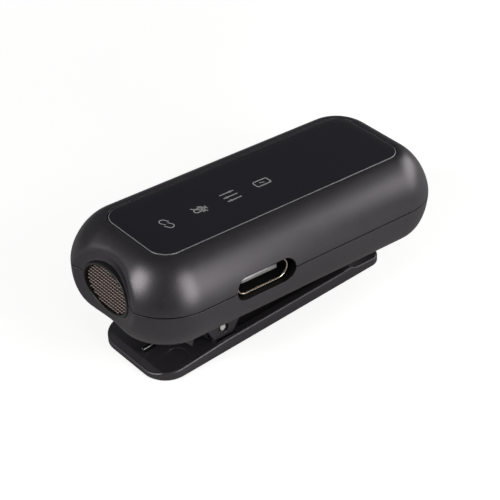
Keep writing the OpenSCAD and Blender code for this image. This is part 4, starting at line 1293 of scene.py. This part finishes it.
def trim_ring():
    """Trim ring: a closed profile carried round the oval, with a rounded front lip that sets
    back with the square of its height above or below the axis, as the housing's end does."""
    h, m = sizes("housing", "mic")
    face, back, mesh, _ = mic_places(h, m)
    r, wall = LIP_ROUND, RING_PLAY + m.ring_wall
    a = turn(LIP_POINTS, 0, 90, closed=False)
    levels = [
        (RING_PLAY, back),
        *((RING_PLAY + r - r * math.sin(t), face + r - r * math.cos(t)) for t in a[::-1]),
        *((m.ring_lip - r + r * math.sin(t), face + r - r * math.cos(t)) for t in a),
        (m.ring_lip, mesh), (wall, mesh), (wall, back)]
    rows = oval_rows(m, levels)
    lip = slice(1, 1 + 2 * LIP_POINTS)
    rows[lip, :, 0] += m.ring_bow * ((rows[lip, :, 2] - m.axis) / (m.tall / 2)) ** 2
    return grid(rows, wrap_rows=True)


def woven_mesh():
    """Metal mesh: straight upright wires, and level wires in front whose depth follows a cosine,
    so that each has a knuckle over every upright one. The ring's oval clips their ends."""
    h, m = sizes("housing", "mic")
    _, _, mesh, foam_x = mic_places(h, m)
    a, b = m.wide / 2 - WIRES_INSET, m.tall / 2 - WIRES_INSET
    middle, nest = (mesh + foam_x) / 2, m.wire * WIRE_NEST
    wires = []
    for level, reach, across, step in ((True, a, b, m.pitch_up), (False, b, a, m.pitch)):
        count = int(across / step)
        at = np.arange(-count, count + 1)[:, None] * step
        half = reach * np.sqrt(np.clip(1 - (at / across) ** 2, SHORTEST, 1))
        s = np.linspace(-1, 1, WIRE_POINTS) * half
        depth = -nest - m.wave * np.cos(2 * math.pi * s / m.pitch)
        paths = (coords(middle + depth, s, m.axis + at) if level
                 else coords(middle + nest, at, m.axis + s))
        side = (0.0, 0.0, 1.0) if level else (0.0, 1.0, 0.0)
        wires += [grid(wire) for wire in swept(paths, m.wire, side, WIRE_SIDES)]
    return joined(*wires)


def foam_disc():
    """Foam behind the mesh: an oval plug with a slightly domed front."""
    h, m = sizes("housing", "mic")
    _, back, _, foam_x = mic_places(h, m)
    dome = [(FOAM_INSET + DOME_REACH * (1 - math.cos(t)),
             foam_x + DOME_FOOT - DOME_RISE * math.sin(t))
            for t in turn(DOME_POINTS, 0, DOME_END, closed=False)]
    return grid(oval_rows(m, [(FOAM_INSET, back), (FOAM_INSET, foam_x + FOAM_SHOULDER), *dome]))


class MIC_OT_grille(bpy.types.Operator):
    """Builds the microphone's trim ring, woven mesh and foam"""

    bl_idname = "lavalier.grille"
    bl_label = "Grille"

    def execute(self, context):
        piece("trim_ring", trim_ring(), "grille_ring", "trim_plastic")
        piece("woven_mesh", woven_mesh(), "mic_mesh", "mesh_metal", smooth=60)
        disc = piece("foam_disc", foam_disc(), "wind_foam", "foam")
        return {"FINISHED"}


# The charging port and the button

# Points on a half circle of a slot, on the shell's rolled edge and on the button's soft edge
SLOT_POINTS, ROLL_POINTS, SOFT_POINTS = 24, 9, 7
# The tongue's chamfer, its corners' cut as a multiple of it, and the side's share of its pull
TONGUE_CHAMFER, CORNER_CUT, SIDE_PULL = 0.16, 2.4, 0.3
# Where a contact starts behind the tongue's front, how deep it is rooted, the taper of its top,
# and its nose as (place, height)
CONTACT_START, CONTACT_ROOT, CONTACT_TAPER = 0.3, 0.02, 0.8
CONTACT_NOSE = ((0.0, 0.0), (0.04, 0.035), (0.14, 0.05))
# The button's flange: its gap behind the wall and its thickness
FLANGE_GAP, FLANGE_THICK = 0.1, 0.6
# The button's edge: its reach inwards, its drop and the rise of its curve, and the rows of its
# face as (inset, drop)
SOFT_REACH, SOFT_DROP, SOFT_RISE = 0.3, 0.3, 0.25
FACE_ROWS = ((0.8, 0.01), (1.2, 0.0))
# The nub on the button's back: its radius, its reach to the switch, its root and its points
NUB_RADIUS, NUB_REACH, NUB_ROOT, NUB_POINTS = 0.7, 0.25, 0.2, 32


def port_frame(h, q):
    """Centre of the port and the y of its mouth."""
    return q.along - h.long / 2, q.high, q.inside - h.wide / 2


def slot_rows(levels, wide, tall, centre):
    """Rows round a slot with round ends that runs along y, one for each (inset, y)."""
    return np.stack([
        upright(stadium(wide - 2 * inset, tall - 2 * inset, SLOT_POINTS) + centre, y)
        for inset, y in levels])


def port_shell():
    """Drawn metal shell: a closed profile with a rolled front edge, carried round the slot. The
    inner wall behind the edge is painted near-black as shade."""
    h, q = sizes("housing", "port")
    cx, cz, y = port_frame(h, q)
    r = q.sheet / 2
    roll = [(r - r * math.cos(t), y + r - r * math.sin(t))
            for t in turn(ROLL_POINTS, 0, 180, closed=False)]
    levels = [(0, y + q.deep), *roll, (q.sheet, y + q.lined), (q.sheet, y + q.deep)]
    rows = slot_rows(levels, q.wide, q.tall, (cx, cz))
    points, faces, _ = grid(rows, wrap_rows=True)
    # The band of the inner wall from this row back is painted shade
    lined = len(roll) + 1
    return points, faces, [int(i // rows.shape[1] == lined) for i in range(len(faces))]


def port_tongue():
    """Tongue with a chamfered, plated front, on the plastic block that closes the port's back."""
    h, q = sizes("housing", "port")
    cx, cz, y = port_frame(h, q)
    front, back = y + q.tongue_in, y + q.deep
    block_y = back - q.block
    block = grid(slot_rows([(q.sheet, block_y), (q.sheet, back)], q.wide, q.tall, (cx, cz)))
    w, t, c = q.tongue_wide / 2, q.tongue_thick / 2, TONGUE_CHAMFER
    cut = CORNER_CUT * c
    half = np.array([[-w, block_y], [-w, front + cut], [-w + cut, front],
                     [w - cut, front], [w, front + cut], [w, block_y]])
    rows = []
    for level, pull in ((-t, c), (-t + c, 0), (t - c, 0), (t, c)):
        spot = half.copy()
        spot[1:5, 1] += pull
        spot[1:3, 0] += pull * SIDE_PULL
        spot[3:5, 0] -= pull * SIDE_PULL
        rows.append(at_level(spot + [cx, 0], cz + level))
    return joined(block, grid(np.stack(rows), shade=1))


def port_contacts():
    """Rows of contacts on both faces of the tongue, each a bar with a rounded front end."""
    h, q = sizes("housing", "port")
    cx, cz, y = port_frame(h, q)
    start, end = y + q.tongue_in + CONTACT_START, y + q.deep - q.block
    profile = [(start + s, rise) for s, rise in CONTACT_NOSE] + [(end, CONTACT_NOSE[-1][1])]
    w, top = q.contact_wide / 2, q.contact_wide / 2 * CONTACT_TAPER
    bars = []
    for face in (-1, 1):
        for x in (np.arange(q.contacts) - (q.contacts - 1) / 2) * q.contact_pitch:
            rows = np.array([[(x - w, s, -CONTACT_ROOT), (x + w, s, -CONTACT_ROOT),
                              (x + top, s, rise), (x - top, s, rise)] for s, rise in profile])
            bars.append(grid(rows * [1, 1, face] + [cx, 0, cz + face * q.tongue_thick / 2]))
    return joined(*bars)


def button_cap():
    """Button: a slot outline carried from the flange to a softly domed face, with a nub that
    reaches the push switch."""
    h, q = sizes("housing", "port")
    bx, bz = button_place(h, q)
    flange_y, top = h.wide / 2 - h.wall - FLANGE_GAP, h.wide / 2 + q.button_proud
    back = flange_y - FLANGE_THICK
    soft = [(SOFT_REACH - SOFT_REACH * math.cos(t), top - SOFT_DROP + SOFT_RISE * math.sin(t))
            for t in turn(SOFT_POINTS, 0, 90, closed=False)]
    levels = [(-q.flange, back), (-q.flange, flange_y), (0, flange_y), *soft,
              *((inset, top - drop) for inset, drop in FACE_ROWS)]
    cap = grid(slot_rows(levels, q.button_wide, q.button_tall, (bx, bz)))
    nub = tube((bx, 0, bz), (NUB_RADIUS, NUB_RADIUS), (back - NUB_REACH, back + NUB_ROOT),
               NUB_POINTS, "y")
    return joined(cap, nub)


class MIC_OT_port(bpy.types.Operator):
    """Builds the charging port's shell, tongue and contacts"""

    bl_idname = "lavalier.port"
    bl_label = "Charging port"

    def execute(self, context):
        # The port shell's second finish is painted shade on its inner wall
        piece("port_shell", port_shell(), "usb_shell", "port_metal", "case_core")
        piece("port_tongue", port_tongue(), "usb_tongue", "chip_plastic", "port_nose")
        piece("port_contacts", port_contacts(), "usb_contacts", "contact_gold")
        return {"FINISHED"}


class MIC_OT_button(bpy.types.Operator):
    """Builds the power button"""

    bl_idname = "lavalier.button"
    bl_label = "Button"

    def execute(self, context):
        piece("button_cap", button_cap(), "power_button", "trim_plastic", body="button")
        return {"FINISHED"}


# The clip lever

# Points along the lever round a corner, a relief and an ejector mark, in front of the hinge and
# in the tray; points down its rounded edge; and lines across it besides those of its steps
CORNER_POINTS, RELIEF_POINTS, MARK_POINTS, PRESS_POINTS, TRAY_POINTS = 13, 29, 13, 8, 16
ROUND_POINTS = 7
LINES_ACROSS = (0, 0.7, 1.4, 2.2, 2.65, 3.3, 4.8, 5.75, 6.5)
# Half length of the box round an ejector mark, and where it starts across the lever
MARK_BOX, MARK_FROM = 2.1, 2.65
# Radii of the mark's rings: those on its floor, and how far its edges lie from its radius. Then
# the shares of the way from its last ring to the box.
MARK_FLOOR, MARK_EDGES, MARK_SHARES = (0.0, 0.5, 1.1), (-0.03, 0, 0.12), (0.35, 0.7, 1.0)
# Points over a lug's top and round its bore, and the bore's chamfer
ARCH_POINTS, BORE_POINTS, BORE_CHAMFER = 33, 64, 0.1
# Where a tooth's flat crest starts and ends, as shares of the tooth's length
CREST = (0.42, 0.58)
# The jaw's rounded sides: their radius, the share of it at their middle row, and the share by
# which the teeth sink there. Then how far the jaw's ends stay inside the lever's.
JAW_ROUND, JAW_SHARE, JAW_SINK = 0.25, 0.3, 0.6
TIP_INSIDE, ROOT_INSIDE = 0.1, 0.01


def half_width(x, inset, c):
    """Half the lever's width at a place along it: the plain half width, less r - root(r^2 - d^2)
    where d is how far the place lies inside a corner of radius r."""
    end = c.long / 2 - inset
    wide = np.full_like(x, c.wide / 2 - inset)
    for r, side in ((c.press_corner - inset, -1), (c.tip_corner - inset, 1)):
        d = np.clip(side * x - (end - r), 0, r)
        wide = wide - (r - np.sqrt(np.maximum(r * r - d * d, 0)))
    return wide


def leg_ends(h, g, c):
    """The pin, the ends of the spring's two legs, the curls' radius, and the angles at which the
    legs touch the curls."""
    pin = np.array([g.along - c.long / 2, g.high])
    low_x = pin[0] - g.lever_leg
    rise = (low_x + c.long / 2 - c.bevel_long) * rim_slope(g, c)
    low = np.array([low_x, c.press + rise + g.wire + g.leg_gap])
    end = np.array([g.from_end - h.long / 2 - g.body_leg, 0, -g.wire - g.leg_gap])
    high = placed(end)[[0, 2]]
    r = g.pin + g.curl_play + g.wire

    def touch(p, side):
        d = p - pin
        return math.atan2(d[1], d[0]) - side * math.acos(r / math.hypot(*d))

    return pin, low, high, r, touch(low, -1), touch(high, 1) + 2 * math.pi * g.curls


def lever_places(g, c):
    """Where the lever's parts lie: its half length, the pin, the starts of the jaw and of the
    tray, the lugs' inner faces, and the reach of the ears' relief round the pin."""
    half, pin_x = c.long / 2, g.along - c.long / 2
    return (half, pin_x, half - c.jaw_long, pin_x + g.lug + c.tray_gap,
            g.ears / 2 - g.ear_thick - g.lug_gap - g.lug_thick,
            math.hypot(g.ear_foot, g.ear_deep - g.deep) + g.relief_gap)


def lever_top(x, y, h, g, c):
    """Height of the lever's upper face: a broken line along x, lowered to the tray's floor
    between the rims, and cut by the curls' well, the leg's channel and the ears' reliefs, which
    are arcs and a line round the pin."""
    half, pin_x, jaw_x, tray, lug_y, relief = lever_places(g, c)
    fall = jaw_x + c.hump_fall
    base = [g.high + g.deep - c.jaw_base - (t - pin_x) * math.tan(g.pitch) for t in (fall, half)]
    z = np.interp(
        x, [-half, c.bevel_long - half, pin_x, jaw_x - c.hump_long, jaw_x, fall, half],
        [c.press - c.bevel_drop, c.press, c.rim, c.rim, c.rim + c.hump, *base])
    inside = np.minimum(np.minimum(x - tray, jaw_x - x), c.wide / 2 - c.rim_wide - np.abs(y))
    sunk = z + (np.minimum(c.floor, z) - z) * np.clip(inside / c.draft, 0, 1)
    z = np.where(inside > 0, sunk, z)
    _, low, _, r, low_angle, _ = leg_ends(h, g, c)
    dx = x - pin_x

    def scooped(z, within, radius):
        arc = g.high - np.sqrt(np.maximum(radius**2 - dx**2, 0))
        return np.where(within & (np.abs(dx) < radius), np.minimum(z, arc), z)

    between_lugs = np.abs(y) < lug_y
    z = scooped(z, between_lugs, r + g.wire + g.well_gap)
    touch = (pin_x, g.high) + r * np.array([math.cos(low_angle), math.sin(low_angle)])
    slope = (touch[1] - low[1]) / (touch[0] - low[0])
    line = low[1] + slope * (x - low[0]) - (g.wire + g.channel_gap) * math.hypot(1, slope)
    z = np.where(between_lugs & (dx < 0) & (dx > -g.channel), np.minimum(z, line), z)
    ear_y = g.ears / 2 - g.ear_thick / 2
    return scooped(z, np.abs(np.abs(y) - ear_y) < g.ear_thick / 2 + g.lug_gap, relief)


def lever_plate():
    """Lever as layers over one grid: the top face, a quarter circle along its edge, the side,
    and the flat underside inside a small bevel. Lines across the grid run at fixed shares of
    the half width, so they follow the corners. Round each ejector mark, the grid gives way to
    rings."""
    h, g, c = sizes("housing", "hinge", "clip")
    half, pin_x, jaw_x, tray, lug_y, relief = lever_places(g, c)
    tiny, inner = c.draft / 2, half - c.round
    fall = turn(CORNER_POINTS, 0, 90, closed=False)
    mark_x = c.mark_along - half
    box = (mark_x - MARK_BOX, mark_x + MARK_BOX)
    xs = np.unique(np.round(np.concatenate([
        -inner + (c.press_corner - c.round) * (1 - np.cos(fall)),
        inner - (c.tip_corner - c.round) * (1 - np.cos(fall)),
        [c.bevel_long - half, tray, tray + c.draft, jaw_x - c.draft, jaw_x, jaw_x - c.hump_long,
         jaw_x + c.hump_fall, pin_x - g.channel],
        pin_x + np.linspace(-relief, relief, RELIEF_POINTS), np.linspace(*box, MARK_POINTS),
        np.linspace(box[1], pin_x - relief, PRESS_POINTS), np.linspace(tray, jaw_x, TRAY_POINTS),
    ]), 5))
    xs = xs[np.concatenate([[True], np.diff(xs) > 1e-3])]
    y_edge, wall_y = c.wide / 2 - c.round, c.wide / 2 - c.rim_wide
    near, far = g.ears / 2 - g.ear_thick - g.lug_gap, g.ears / 2 + g.lug_gap
    lines = [*LINES_ACROSS, wall_y - c.draft, wall_y, (far + y_edge) / 2, y_edge,
             *(line + side * tiny for line in (lug_y, near, far) for side in (-1, 1))]
    shares = np.unique(np.round([line for line in lines if line <= y_edge], 6)) / y_edge
    ts = np.concatenate([-shares[:0:-1], shares])

    def layer(inset, z):
        x = xs * (half - inset) / inner
        return coords(x[:, None], ts[None] * half_width(x, inset, c)[:, None], z)

    flat = layer(c.round, 0.0)
    level = lever_top(flat[..., 0], flat[..., 1], h, g, c)
    curve = [(c.round * (1 - math.sin(t)), c.round * (1 - math.cos(t)))
             for t in turn(ROUND_POINTS, 0, 90, closed=False)]
    layers = [layer(inset, level - drop) for inset, drop in curve]
    layers += [layer(0, c.foot), layer(c.foot, 0.0)]
    sheet = Sheet()
    keep = np.ones((len(xs) - 1, len(ts) - 1), bool)
    i0, i1 = (int(np.argmin(np.abs(xs - b))) for b in box)
    for side in (-1, 1):
        ends = sorted((side * MARK_FROM / y_edge, side * (far + tiny) / y_edge))
        j0, j1 = (int(np.argmin(np.abs(ts - b))) for b in ends)
        keep[i0:i1, j0:j1] = False
        rows, columns = np.array(
            [(i, j0) for i in range(i0, i1)] + [(i1, j) for j in range(j0, j1)]
            + [(i, j1) for i in range(i1, i0, -1)] + [(i0, j) for j in range(j1, j0 - 1, -1)]).T
        rim = layers[0][rows, columns, :2]
        centre = np.array([mark_x, side * c.mark_across])
        d = ways(np.arctan2(*(rim - centre).T[::-1]))
        radii = *MARK_FLOOR, *(c.mark + step for step in MARK_EDGES)
        rings = [centre + d * r for r in radii]
        rings = np.stack(rings + [rings[-1] + (rim - rings[-1]) * s for s in MARK_SHARES])
        sunk = (np.arange(len(rings)) <= len(MARK_FLOOR))[:, None] * c.mark_deep
        top = lever_top(rings[..., 0], rings[..., 1], h, g, c) - sunk
        patch = []
        for k, whole in enumerate(layers):
            patch.append(at_level(rings, top - curve[k][1] if k < len(curve) else whole[0, 0, 2]))
            patch[-1][-1] = whole[rows, columns]
        sheet.add(*patch)
    sheet.add(*layers, keep=keep)
    return sheet.solid()


def lugs():
    """Two upright lugs with a bore for the pin: round over the pin, straight down to the plate."""
    g, c = sizes("hinge", "clip")
    pin = np.array([g.along - c.long / 2, g.high])
    corners = np.concatenate([
        pin + g.lug * ways(turn(ARCH_POINTS, 0, 180, closed=False)),
        [[pin[0] - g.lug, c.press / 2], [pin[0] + g.lug, c.press / 2]]])
    outside = g.ears / 2 - g.ear_thick - g.lug_gap
    inside, bore = outside - g.lug_thick, g.pin + g.pin_play
    rings = [(bore + BORE_CHAMFER, outside), (bore, outside - BORE_CHAMFER), (bore, inside)]
    plate = pierced_plate(corners, pin, rings, inside, BORE_POINTS)
    return [plate, mirrored(plate)]


def jaw():
    """Toothed jaw: a row of saw teeth along the housing's underside, carried across the lever
    and set on its base."""
    g, c = sizes("hinge", "clip")
    half = c.long / 2
    start = (half - c.jaw_long - placed(np.zeros(3))[0]) / math.cos(g.pitch)
    step = (c.jaw_long - c.jaw_end) / c.teeth
    foot, tip = -c.jaw_gap - c.tooth, -c.jaw_gap
    teeth = [(start + (k + share) * step, z) for k in range(c.teeth)
             for share, z in ((0, foot), (CREST[0], tip), (CREST[1], tip))]
    teeth.append((start + c.teeth * step, foot))
    line = placed(upright(np.array(teeth), 0.0))[:, [0, 2]]
    end_x = line[-1, 0] - (line[-1, 1] - c.floor) * math.tan(g.pitch)
    line[0, 0] = max(line[0, 0], half - c.jaw_long + ROOT_INSIDE)
    corners = np.vstack([line, [min(end_x, half - TIP_INSIDE), c.floor], [line[0, 0], c.floor]])
    w, r = c.jaw_wide / 2, JAW_ROUND
    part = r * JAW_SHARE
    rows = []
    for y, pull in ((-w, r), (-w + part, part), (-w + r, 0), (w - r, 0), (w - part, part), (w, r)):
        spot = corners.copy()
        spot[:-2, 1] -= pull * JAW_SINK
        spot[-3:-1, 0] -= pull
        spot[[0, -1], 0] += pull
        rows.append(upright(spot, y))
    return grid(np.stack(rows))


class MIC_OT_lever(bpy.types.Operator):
    """Builds the clip lever with its tray, hinge lugs, ejector marks and toothed jaw"""

    bl_idname = "lavalier.lever"
    bl_label = "Clip lever"

    def execute(self, context):
        piece("lever", joined(lever_plate(), *lugs(), jaw()), "clip_lever", "clip_plastic",
              body="clip", smooth=30)
        return {"FINISHED"}


# The hinge pin and the spring

# Points round the pin, its chamfers and its stems', the radius at which its ends close, and the
# bands of its faces on the shoulders, which are painted black as shade
PIN_POINTS, PIN_CHAMFER, STEM_CHAMFER, PIN_CLOSE = 48, 0.05, 0.06, 1e-3
PAINTED_SHADE_BANDS = (2, 3, 7, 8)
# Points on a curl, along a leg and round the wire
CURL_POINTS, LEG_POINTS, ROUND_WIRE = 40, 60, 16
# The wire's cut ends: the share of its radius that is left, and the length of their chamfer
CUT_SHARE, CUT_LONG = 0.8, 0.05


def hinge_pin():
    """Steel pin turned about its axis. A short stem with a chamfered end stands on each end face,
    and the shoulder round it is painted black as shade."""
    g, h = sizes("hinge", "housing")
    end = g.ears / 2 - g.pin_in
    foot = end - g.stem_long
    profile = np.array([
        (PIN_CLOSE, end), (g.stem - STEM_CHAMFER, end), (g.stem, end - STEM_CHAMFER),
        (g.stem, foot), (g.pin - PIN_CHAMFER, foot), (g.pin, foot - PIN_CHAMFER)])
    radii, places = np.concatenate([profile * [1, -1], profile[::-1]]).T
    centre = (g.from_end - h.long / 2, 0, -g.deep)
    points, faces, _ = tube(centre, radii, places, PIN_POINTS, "y")
    return points, faces, [int(i // PIN_POINTS in PAINTED_SHADE_BANDS) for i in range(len(faces))]


def spring_path():
    """Middle line of the spring: a leg along the lever, a helix of curls round the pin and a leg
    up to the housing. A leg runs straight beside the curls and then eases across, by the smooth
    step 3t^2 - 2t^3, to the place of its end."""
    h, g, c = sizes("housing", "hinge", "clip")
    pin, low, high, r, a0, a1 = leg_ends(h, g, c)
    turns = (a1 - a0) / (2 * math.pi)
    half = turns * (2 * g.wire + g.curl_gap) / 2
    s = np.linspace(0, 1, int(turns * CURL_POINTS))
    a = a0 + (a1 - a0) * s
    curls = upright(pin + r * ways(a), half * (1 - 2 * s))

    def leg(p, q):
        reach = math.hypot(q[0] - p[0], q[2] - p[1])
        t = np.linspace(0, 1, LEG_POINTS)[:-1]
        u = np.clip((reach * (1 - t) - g.leg_straight) / (reach - 2 * g.leg_straight), 0, 1)
        y = q[1] + (-g.leg_across - q[1]) * u * u * (3 - 2 * u)
        return coords(p[0] + (q[0] - p[0]) * t, y, p[1] + (q[2] - p[1]) * t)

    return np.concatenate([leg(low, curls[0]), curls, leg(high, curls[-1])[::-1]])


def spring():
    """Round wire along the spring's middle line, its cut ends slightly chamfered."""
    g = sizes("hinge")
    path = spring_path()
    rings = swept(path, g.wire, (0.0, 1.0, 0.0), ROUND_WIRE)
    ends = [path[i] + (rings[i] - path[i]) * CUT_SHARE for i in (0, -1)]
    for i, inner in ((0, 1), (-1, -2)):
        way = path[i] - path[inner]
        rings[i] -= way / np.linalg.norm(way) * CUT_LONG
    return grid(np.concatenate([ends[:1], rings, ends[1:]]))


class MIC_OT_hinge(bpy.types.Operator):
    """Builds the hinge pin and the torsion spring"""

    bl_idname = "lavalier.hinge"
    bl_label = "Hinge and spring"

    def execute(self, context):
        # The pin's second finish is painted shade on its shoulders
        piece("pin", hinge_pin(), "hinge_pin", "steel", "case_core")
        h, g, c = sizes("housing", "hinge", "clip")
        pin, _, _, r, _, end = leg_ends(h, g, c)
        heights = pin[1] - r + g.wire, pin[1] + r * math.sin(end) - g.wire
        piece("spring", spring(), "torsion_spring", "spring_steel", body="clip", slot="steel",
              smooth=60, twist=heights)
        return {"FINISHED"}


# What lies inside

# Points on the foam pad's round edge, and how far its faces' first rows lie in, as a share of
# its corner radius
PAD_POINTS, PAD_INSIDE = 9, 0.8


def housing_box(name):
    """Lowest and highest corner of a frame node in the housing's own frame: its points turned
    back by the pitch about the pin."""
    h, g, c = sizes("housing", "hinge", "clip")
    mesh = frame["nodes"][name].data
    points = np.empty(3 * len(mesh.vertices))
    mesh.vertices.foreach_get("co", points)
    x, y, z = points.reshape(-1, 3).T / MM
    x, z = x - (g.along - c.long / 2), z - g.high
    cosine, sine = math.cos(g.pitch), math.sin(g.pitch)
    turned = coords(x * cosine - z * sine - h.long / 2 + g.from_end, y,
                    x * sine + z * cosine - g.deep)
    return turned.min(axis=0), turned.max(axis=0)


def battery_pad():
    """Foam pad under the battery: rows round a rectangle from its lower to its upper face. The
    edges are round, and each side draws in by a parabola between its corners."""
    pad = sizes("pad")
    low, high = housing_box("battery_pad")
    long, wide, thick = high - low
    edge = [(pad.edge * (1 - math.cos(t)), thick * (1 + math.sin(t)) / 2)
            for t in turn(PAD_POINTS, -90, 90, closed=False)]
    inside = pad.corner * PAD_INSIDE
    rows = rounded_rows(long, wide, pad.corner,
                        [(inside, pad.crown), *edge, (inside, thick - pad.crown)])
    u, v = 2 * rows[..., 0] / long, 2 * rows[..., 1] / wide
    rows[..., 0] -= pad.draw * u * (1 - v**2)
    rows[..., 1] -= pad.draw * v * (1 - u**2)
    return grid(rows + [(low[0] + high[0]) / 2, (low[1] + high[1]) / 2, low[2]])


class MIC_OT_inside(bpy.types.Operator):
    """Builds the battery's foam pad, and finishes what is carried over from the frame"""

    bl_idname = "lavalier.inside"
    bl_label = "Inside"

    def execute(self, context):
        pad = piece("battery_foam", battery_pad(), "battery_pad", "foam")
        slots = {part["node"]: part["material_slot"] for part in frame["record"]["subparts"]}
        for name, node in frame["nodes"].items():
            if not node.hide_render:
                for place in node.material_slots:
                    place.material = finish("tape" if slots[name] == "foam" else slots[name])
        return {"FINISHED"}


# The stage

# Lamps: name, azimuth and elevation in degrees, distance, width and height in millimetres,
# and power in watts
LAMPS = (
    ("left", -100, 34, 320, 160, 150, 0.6),
    ("right", 7, 27, 120, 58, 84, 0.088),
    ("side", 71, 21, 150, 132, 56, 0.085),
)
# The point that they face, and the colours of their and of the room's light
LAMP_AIM = (0, 0, 8)
LAMP_TINT, ROOM_TINT = (1.0, 0.975, 0.955), (0.96, 0.98, 1.0)
# Strength at which the camera sees the room, so that its faint tint still shows as white
ROOM_SEEN = 1.05
# Half the floor's length in metres, and how far it lies below the lever in millimetres
FLOOR_HALF, FLOOR_GAP = 4.0, 0.02
# The floor's glow near and far, and where it starts and stops to grow, in millimetres
GLOW_NEAR, GLOW_FAR, GLOW_FROM, GLOW_TO = 0.74, 1.0, 40, 260
# Width of the camera's sensor in millimetres, and its near and far limit in metres
SENSOR, NEAR_LIMIT, FAR_LIMIT = 36, 0.01, 20


def look_from(azimuth, elevation):
    """Direction from the part to a viewer or lamp. Azimuth 0 lies on the charging port's side."""
    return Vector((math.sin(azimuth) * math.cos(elevation),
                   -math.cos(azimuth) * math.cos(elevation), math.sin(elevation)))


def area_lamp(name, azimuth, elevation, far, wide, tall, power):
    """Soft rectangular lamp that faces the part; distance and sizes in millimetres."""
    data = bpy.data.lights.new(name, "AREA")
    data.shape, data.size, data.size_y, data.energy = "RECTANGLE", wide * MM, tall * MM, power
    data.color = LAMP_TINT
    lamp = bpy.data.objects.new(name, data)
    bpy.context.scene.collection.objects.link(lamp)
    place = look_from(math.radians(azimuth), math.radians(elevation)) * far
    lamp.location = place * MM
    lamp.rotation_mode = "QUATERNION"
    lamp.rotation_quaternion = (place - Vector(LAMP_AIM)).to_track_quat("Z", "Y")


def floor_paint(tint):
    """Pale floor paint that keeps shadows. The camera also sees a white glow in it, which grows
    with the distance from the object, as the lamps' light falls off."""
    f = Finish("floor_paint")
    f.tree.nodes.remove(f.shader)
    out = next(n for n in f.tree.nodes if n.type == "OUTPUT_MATERIAL")
    reach = f.node("ShaderNodeVectorMath", {0: f.place}, operation="LENGTH")
    far = Value(f, reach.outputs["Value"]).above(GLOW_FROM, GLOW_TO)
    seen = Value(f, f.node("ShaderNodeLightPath", {}).outputs["Is Camera Ray"])
    paint = f.node("ShaderNodeBsdfDiffuse", {"Color": (*tint, 1)})
    glow = f.node("ShaderNodeEmission", {
        "Color": (1, 1, 1, 1), "Strength": seen * (GLOW_NEAR + far * (GLOW_FAR - GLOW_NEAR))})
    both = f.node("ShaderNodeAddShader", {0: paint.outputs[0], 1: glow.outputs[0]})
    f.tree.links.new(both.outputs[0], out.inputs["Surface"])
    return f.material


def lay_floor(st):
    """One flat square below the part, as the stage."""
    mesh = bpy.data.meshes.new("floor")
    low, half = -FLOOR_GAP * MM, FLOOR_HALF
    mesh.from_pydata([(-half, -half, low), (half, -half, low), (half, half, low),
                      (-half, half, low)], [], [(0, 1, 2, 3)])
    floor = bpy.data.objects.new("floor", mesh)
    bpy.context.scene.collection.objects.link(floor)
    mesh.materials.append(floor_paint(st.floor_tint))


def light_room(st):
    """Even light from all round, which the camera sees as white."""
    world = bpy.data.worlds.new("room")
    bpy.context.scene.world = world
    world.use_nodes = True
    tree = world.node_tree
    room = next(n for n in tree.nodes if n.type == "BACKGROUND")
    room.inputs["Color"].default_value = (*ROOM_TINT, 1)
    rays = tree.nodes.new("ShaderNodeLightPath")
    strength = tree.nodes.new("ShaderNodeMix")
    tree.links.new(rays.outputs["Is Camera Ray"], strength.inputs[0])
    strength.inputs[2].default_value, strength.inputs[3].default_value = st.sky, ROOM_SEEN
    tree.links.new(strength.outputs[0], room.inputs["Strength"])


def set_camera(st):
    """Camera at its distance from the target, turned by its roll about the line of sight."""
    data = bpy.data.cameras.new("camera")
    data.lens, data.sensor_width = st.lens, SENSOR
    data.clip_start, data.clip_end = NEAR_LIMIT, FAR_LIMIT
    camera = bpy.data.objects.new("camera", data)
    bpy.context.scene.collection.objects.link(camera)
    back = look_from(st.azimuth, st.elevation)
    right = Vector((math.cos(st.azimuth), math.sin(st.azimuth), 0))
    up = back.cross(right)
    cosine, sine = math.cos(st.roll), math.sin(st.roll)
    right, up = right * cosine + up * sine, up * cosine - right * sine
    pose = Matrix((right, up, back)).transposed().to_4x4()
    pose.translation = Vector(st.target) + back * st.distance * MM
    camera.matrix_world = pose
    bpy.context.scene.camera = camera


class MIC_OT_stage(bpy.types.Operator):
    """Makes the floor, the lamps, the room's light and the camera"""

    bl_idname = "lavalier.stage"
    bl_label = "Stage"

    def execute(self, context):
        st = sizes("stage")
        lay_floor(st)
        light_room(st)
        for lamp in LAMPS:
            area_lamp(*lamp)
        context.scene.view_settings.view_transform = "Standard"
        set_camera(st)
        return {"FINISHED"}


OPERATORS = (MIC_OT_housing, MIC_OT_panel, MIC_OT_grille, MIC_OT_port, MIC_OT_button,
             MIC_OT_lever, MIC_OT_hinge, MIC_OT_inside, MIC_OT_stage)


class MIC_PT_sidebar(bpy.types.Panel):
    """Lists the build steps and their sizes"""

    bl_idname = "MIC_PT_sidebar"
    bl_label = "Lavalier microphone"
    bl_space_type = "VIEW_3D"
    bl_region_type = "UI"
    bl_category = "Microphone"

    def draw(self, context):
        for step in OPERATORS:
            self.layout.operator(step.bl_idname)
        for name in GROUPS:
            box = self.layout.box()
            box.label(text=name.capitalize())
            group = getattr(context.scene, "lavalier_" + name)
            for key in group.__annotations__:
                box.prop(group, key)


def register():
    """Registers the settings, the operators and the panel."""
    for made in (*GROUPS.values(), *OPERATORS, MIC_PT_sidebar):
        bpy.utils.register_class(made)
    for name, group in GROUPS.items():
        setattr(bpy.types.Scene, "lavalier_" + name, PointerProperty(type=group))


def unregister():
    """Takes them out again, in the reverse order."""
    for name in GROUPS:
        delattr(bpy.types.Scene, "lavalier_" + name)
    for made in (MIC_PT_sidebar, *reversed(OPERATORS), *reversed(tuple(GROUPS.values()))):
        bpy.utils.unregister_class(made)


def main():
    """Builds the model step by step."""
    register()
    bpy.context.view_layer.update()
    for step in OPERATORS:
        group, action = step.bl_idname.split(".")
        getattr(getattr(bpy.ops, group), action)()


if __name__ == "__main__":
    main()
